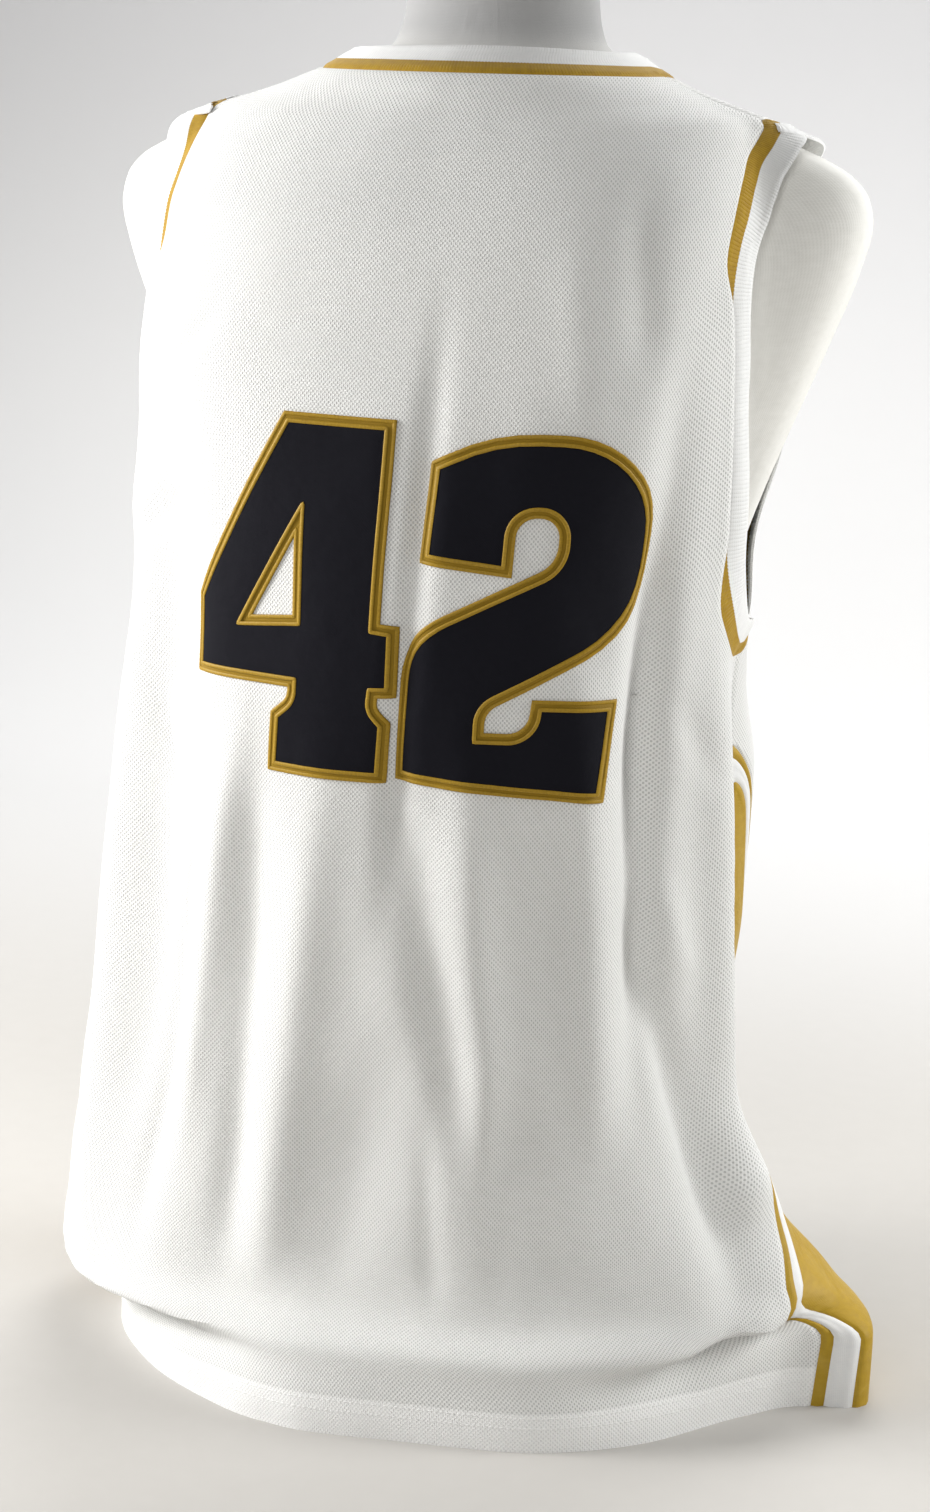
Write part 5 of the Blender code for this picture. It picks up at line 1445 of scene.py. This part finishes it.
def fine_knit_group():
    """Fine plain knit: small vee stitches in close columns, with a soft crumple."""
    inputs = [("Cloth", VECTOR, None), ("Wale", FLOAT, 0.0009), ("Crumple", FLOAT, 1.0)]
    group, calc, start, end = new_group("fine knit", inputs, ("Height", "Crease", "Shade"))
    place = start["Cloth"]
    across, up, _ = parts(group, place)
    vee = calc("PINGPONG", calc("DIVIDE", across, start["Wale"]), 0.5)
    up = calc("DIVIDE", up, start["Wale"])
    wave = calc("MULTIPLY", calc("ADD", up, vee), 2 * math.pi)
    stitch = calc("MULTIPLY_ADD", calc("SINE", wave), 0.25, 0.5)
    height = calc("ADD", stitch, calc("MULTIPLY", vee, 0.8))
    crumple = noise(group, place, 26.0, 4.0, Roughness=0.55, Distortion=0.8)
    crease = calc("MULTIPLY", crumple, start["Crumple"])
    return put_out(group, end, Height=height, Crease=crease, Shade=noise(group, place, 240.0))


def place_group(tree, group, **inputs):
    """A group placed in a material with its own values."""
    node = tree.nodes.new("ShaderNodeGroup")
    node.node_tree = group
    for name, value in inputs.items():
        feed(tree, node.inputs[name], value)
    return node.outputs


MATERIALS = {}
WHITE = (0.85, 0.85, 0.835)
GOLD = (0.47, 0.30, 0.014)
FINE_BUMP = 0.00012  # height of the stitches and of the twill's lines


def new_material(name, **shader_values):
    """A material whose tree has a Principled shader, and the piece's own cloth metres."""
    material = bpy.data.materials.new(name)
    material.use_nodes = True
    tree = material.node_tree
    shader = tree.nodes["Principled BSDF"]
    shader.inputs["Specular IOR Level"].default_value = 0.2
    for socket, value in shader_values.items():
        shader.inputs[socket.replace("_", " ")].default_value = value
    place = add(tree, "ShaderNodeUVMap", uv_map="cloth").outputs[0]
    MATERIALS[name] = material
    return tree, shader, place


def object_place(tree):
    """Places in the part's own frame."""
    return add(tree, "ShaderNodeTexCoord").outputs["Object"]


def finish_material(tree, shader, colour, *layers):
    """Links the colour, and bump layers, each with its height socket and metres deep."""
    tree.links.new(colour, shader.inputs["Base Color"])
    normal = None
    for height, depth in layers:
        node = add(tree, "ShaderNodeBump", {"Height": height, "Distance": depth, "Strength": 1.0})
        if normal is not None:
            tree.links.new(normal, node.inputs["Normal"])
        normal = node.outputs[0]
    if normal is not None:
        tree.links.new(normal, shader.inputs["Normal"])


def mesh_material():
    """White mesh knit, closer where the turned-up hem doubles it and brighter there, partly from
    the second layer and partly painted light.
    """
    tree, shader, place = new_material("white_mesh", Roughness=0.72, Sheen_Weight=0.15)
    mesh = place_group(tree, mesh_knit_group(), Cloth=place)
    cloudy = blend(tree, mesh["Shade"], WHITE, (0.805, 0.808, 0.795))
    holed = maths(tree, "MULTIPLY", mesh["Eyelet"], 0.75)
    one = blend(tree, holed, cloudy, (0.50, 0.505, 0.495))
    # Doubled hem colour: its eyelets are paler from the second layer behind them, and the whole
    # strip is painted paler as painted light where it faces up to the lamps.
    two = blend(tree, holed, (0.93, 0.93, 0.92), (0.78, 0.785, 0.78))
    is_one = step_between(tree, parts(tree, place)[1], 0.0225, 0.0245)
    finish_material(tree, shader, blend(tree, is_one, two, one), (mesh["Height"], 0.00035))


def rib_material(fine):
    """White rib knit with its gold stripe along the seam."""
    tree, shader, place = new_material("rib_knit", Roughness=0.75, Sheen_Weight=0.15)
    stitch = place_group(tree, fine, Cloth=place, Wale=0.0011, Crumple=0.4)
    edge = STRIPE * BAND_WIDTH
    is_white = step_between(tree, parts(tree, place)[1], edge - 0.0003, edge + 0.0003)
    golden = blend(tree, stitch["Shade"], GOLD, (0.30, 0.165, 0.012))
    pale = blend(tree, stitch["Shade"], (0.86, 0.86, 0.85), (0.78, 0.79, 0.79))
    colour = blend(tree, is_white, golden, pale)
    finish_material(tree, shader, colour, (stitch["Height"], FINE_BUMP))


def insert_materials(fine):
    """Gold satin knit, crumpled, with painted sheen on its crumpled crests, and the white strip's
    knit.
    """
    tree, shader, place = new_material("gold_knit", Roughness=0.50, Specular_IOR_Level=0.3)
    stitch = place_group(tree, fine, Cloth=place, Wale=0.0010, Crumple=1.0)
    # Painted highlight: paler gold where the crumple is high, standing in for the satin's sheen on
    # its crests.
    painted_crest_sheen = step_between(tree, stitch["Crease"], 0.42, 0.68)
    deep = maths(tree, "MULTIPLY", stitch["Shade"], 0.5)
    colour = blend(tree, deep, blend(tree, painted_crest_sheen, GOLD, (0.52, 0.34, 0.04)), (0.25, 0.145, 0.010))
    finish_material(tree, shader, colour, (stitch["Crease"], 0.0035), (stitch["Height"], FINE_BUMP))

    tree, shader, place = new_material("white_strip", Roughness=0.68, Sheen_Weight=0.2)
    stitch = place_group(tree, fine, Cloth=place, Wale=0.0010, Crumple=0.6)
    colour = blend(tree, stitch["Shade"], WHITE, (0.78, 0.79, 0.80))
    finish_material(tree, shader, colour, (stitch["Crease"], 0.0010), (stitch["Height"], FINE_BUMP))


def twill_materials():
    """The two twills of the numerals."""
    weave = twill_group()
    for name, rough, gloss, spacing, uneven, dark, light in (
        ("gold_twill", 0.62, 0.25, 0.0007, 0.0006, (0.25, 0.145, 0.006), (0.37, 0.225, 0.012)),
        ("dark_twill", 0.70, 0.08, 0.0008, 0.0009, (0.0045, 0.0045, 0.0075), (0.011, 0.011, 0.016)),
    ):
        tree, shader, place = new_material(name, Roughness=rough, Specular_IOR_Level=gloss)
        line = place_group(tree, weave, Cloth=place, Spacing=spacing)
        colour = blend(tree, line["Line"], dark, light)
        finish_material(tree, shader, colour, (line["Line"], FINE_BUMP), (line["Shade"], uneven))


def thread_materials():
    """The gold thread of the numerals and the white one of the hem."""
    for name, shine, dark, light in (
        ("gold_thread", {"Specular_IOR_Level": 0.3}, (0.25, 0.14, 0.006), (0.48, 0.30, 0.018)),
        ("white_thread", {"Sheen_Weight": 0.1}, (0.80, 0.80, 0.79), (0.9, 0.9, 0.89)),
    ):
        tree, shader, place = new_material(name, Roughness=0.5, **shine)
        strands = noise(tree, place, 900.0)
        finish_material(tree, shader, blend(tree, strands, dark, light), (strands, 0.0002))


def form_materials(fine):
    """The form's knitted cover, with painted shade darkening it at the neck, and the plate on its
    neck.
    """
    tree, shader, place = new_material("form_cover", Roughness=0.85, Sheen_Weight=0.2)
    stitch = place_group(tree, fine, Cloth=place, Wale=0.0008, Crumple=0.5)
    colour = blend(tree, stitch["Shade"], (0.84, 0.835, 0.80), (0.76, 0.755, 0.715))
    # Painted shade: the cover is blended to grey towards the neck, where the lamps leave it in
    # shade.
    painted_neck_shade = step_between(tree, parts(tree, object_place(tree))[2], 0.780, 0.815)
    colour = blend(tree, painted_neck_shade, colour, (0.40, 0.40, 0.40))
    finish_material(tree, shader, colour, (stitch["Crease"], 0.0008), (stitch["Height"], 0.00008))

    tree, shader, _ = new_material("neck_plate", Roughness=0.38)
    grain = noise(tree, object_place(tree), 400.0, 3.0)
    colour = blend(tree, grain, (0.26, 0.29, 0.34), (0.34, 0.37, 0.42))
    finish_material(tree, shader, colour, (grain, 0.0001))


def sweep_material():
    """Paper of the floor and sweep, with painted light: paler on the sweep behind the part as a
    painted glow, and greyer again towards the top as painted shade.
    """
    tree, shader, _ = new_material("sweep", Roughness=0.9)
    place = object_place(tree)
    _, y, z = parts(tree, place)
    floor = blend(tree, noise(tree, place, 60.0, 3.0), (0.515, 0.500, 0.475), (0.535, 0.520, 0.495))
    # Painted light: the sweep behind the part is paler, as a glow of light on it, and it fades
    # greyer towards the top as painted shade.
    colour = blend(tree, step_between(tree, y, -1.45, -0.35), (0.83, 0.83, 0.83), floor)
    colour = blend(tree, step_between(tree, z, 0.25, 1.0), colour, (0.69, 0.69, 0.70))
    finish_material(tree, shader, colour)


def make_materials():
    """Every material of the part and of the floor."""
    fine = fine_knit_group()
    mesh_material()
    rib_material(fine)
    insert_materials(fine)
    twill_materials()
    thread_materials()
    form_materials(fine)
    sweep_material()


# ---- stage
SWEEP_FROM, SWEEP_RADIUS = -1.2, 0.9  # y where the floor starts to curve up, and its bend
AIM = (0.0, 0.1, 0.45)  # of the lights, about the part's middle
WARM = (1.0, 0.99, 0.98)
VIEW_FROM, VIEW_HEIGHT = 1.75, 0.80  # the camera's distance and height
FOCAL = 2950 / 1512  # its focal length, in picture heights


def stage_floor():
    """A pale sweep: a floor that curves up behind the far side."""
    profile = [(6.0, 0.0), (SWEEP_FROM, 0.0)]
    for a in np.linspace(0, math.pi / 2, 16)[1:]:
        out, up = SWEEP_RADIUS * math.sin(a), SWEEP_RADIUS * math.cos(a)
        profile.append((SWEEP_FROM - out, SWEEP_RADIUS - up))
    profile.append((SWEEP_FROM - SWEEP_RADIUS, 5.0))
    points = [(x, y, z) for y, z in profile for x in (-5.0, 5.0)]
    faces = [(2 * k, 2 * k + 1, 2 * k + 3, 2 * k + 2) for k in range(len(profile) - 1)]
    uvs = [(points[i][0], points[i][1]) for face in faces for i in face]
    floor = new_mesh("floor", points, faces, uvs, "sweep")
    floor.data.flip_normals()
    smooth_up_to(floor, 40)


def area_light(name, place, size, power, colour):
    """A soft light pointed at the part."""
    light = bpy.data.lights.new(name, "AREA")
    light.shape = "DISK"
    light.size = size
    light.energy = power
    light.color = colour
    made = bpy.data.objects.new(name, light)
    bpy.context.scene.collection.objects.link(made)
    made.location = place
    made.rotation_euler = (Vector(AIM) - Vector(place)).to_track_quat("-Z", "Y").to_euler()


def lights():
    """Soft lights round the part and a faint even one."""
    bpy.context.scene.view_settings.view_transform = "Standard"
    area_light("key", (1.5, 0.55, 0.95), 0.7, 27.0, WARM)
    area_light("key_low", (1.45, 0.2, 0.75), 0.7, 11.0, WARM)
    area_light("far_side", (-1.4, -0.3, 0.9), 0.7, 18.0, (1.0, 1.0, 0.99))
    area_light("near", (0.0, 3.0, 1.2), 1.2, 21.0, (1.0, 0.99, 0.97))
    area_light("behind", (0.0, -1.5, 2.4), 1.6, 38.0, (1.0, 1.0, 1.0))
    world = bpy.data.worlds.new("studio")
    world.use_nodes = True
    background = world.node_tree.nodes["Background"].inputs
    background[0].default_value = (1.0, 0.99, 0.97, 1)
    background[1].default_value = 0.20
    bpy.context.scene.world = world


def camera():
    """Behind the wearer's back and a little to the right, looking down."""
    turn, pitch, roll, yaw = (math.radians(a) for a in (15.0, 13.5, 1.5, 0.15))
    place = (-VIEW_FROM * math.sin(turn), VIEW_FROM * math.cos(turn), VIEW_HEIGHT)
    place = Vector(place) + Vector(ORIGIN)
    level, drop = math.cos(pitch), math.sin(pitch)
    ahead = Vector((math.sin(turn + yaw) * level, -math.cos(turn + yaw) * level, -drop))
    right = ahead.cross(Vector((0, 0, 1))).normalized()
    up = right.cross(ahead)
    tilted = right * math.cos(roll) + up * math.sin(roll)
    up = up * math.cos(roll) - right * math.sin(roll)
    made = bpy.data.objects.new("camera", bpy.data.cameras.new("camera"))
    made.data.sensor_width = 36.0
    made.data.lens = 36.0 * FOCAL
    axes = Matrix((tilted, up, -ahead)).transposed().to_4x4()
    made.matrix_world = Matrix.Translation(place) @ axes
    bpy.context.scene.collection.objects.link(made)
    bpy.context.scene.camera = made


# ---- the whole
def main():
    """Builds the dressed part and the floor, lights and camera round it."""
    make_materials()
    stage_floor()
    lights()
    camera()
    dress_form()
    neck_cap()
    panel("back", False)
    panel("front", True)
    for side, word in ((1, "right"), (-1, "left")):
        side_insert(side, word)
        seam = armhole(side, 0.0105)
        seam = seam[::-1] if side > 0 else seam
        name, node = f"armhole_rib_{word}", f"armhole_band_{word}"
        rib_band(name, node, seam, tucked=True)
    back, front = neck_line(False, 24), neck_line(True, 26)
    front = np.stack([front[:, 0] % 2, front[:, 1]], axis=1)
    rib_band("neck_rib", "neck_band", np.vstack([back, front[::-1][1:-1]]))

    digits = [("four", (FOUR, FOUR_EYE), 0.0), ("two", (TWO,), DIGIT_DROP)]
    widths = [max(corner.x for corner in outlines[0]) / 1000 for _, outlines, _ in digits]
    edge = NUMBER_ACROSS - (sum(widths) + DIGIT_GAP) / 2 - NUMBER_LEAN * NUMBER_HEIGHT / 2
    for (name, outlines, drop), width in zip(digits, widths):
        numeral(name, outlines, edge, drop)
        edge += width + DIGIT_GAP


main()
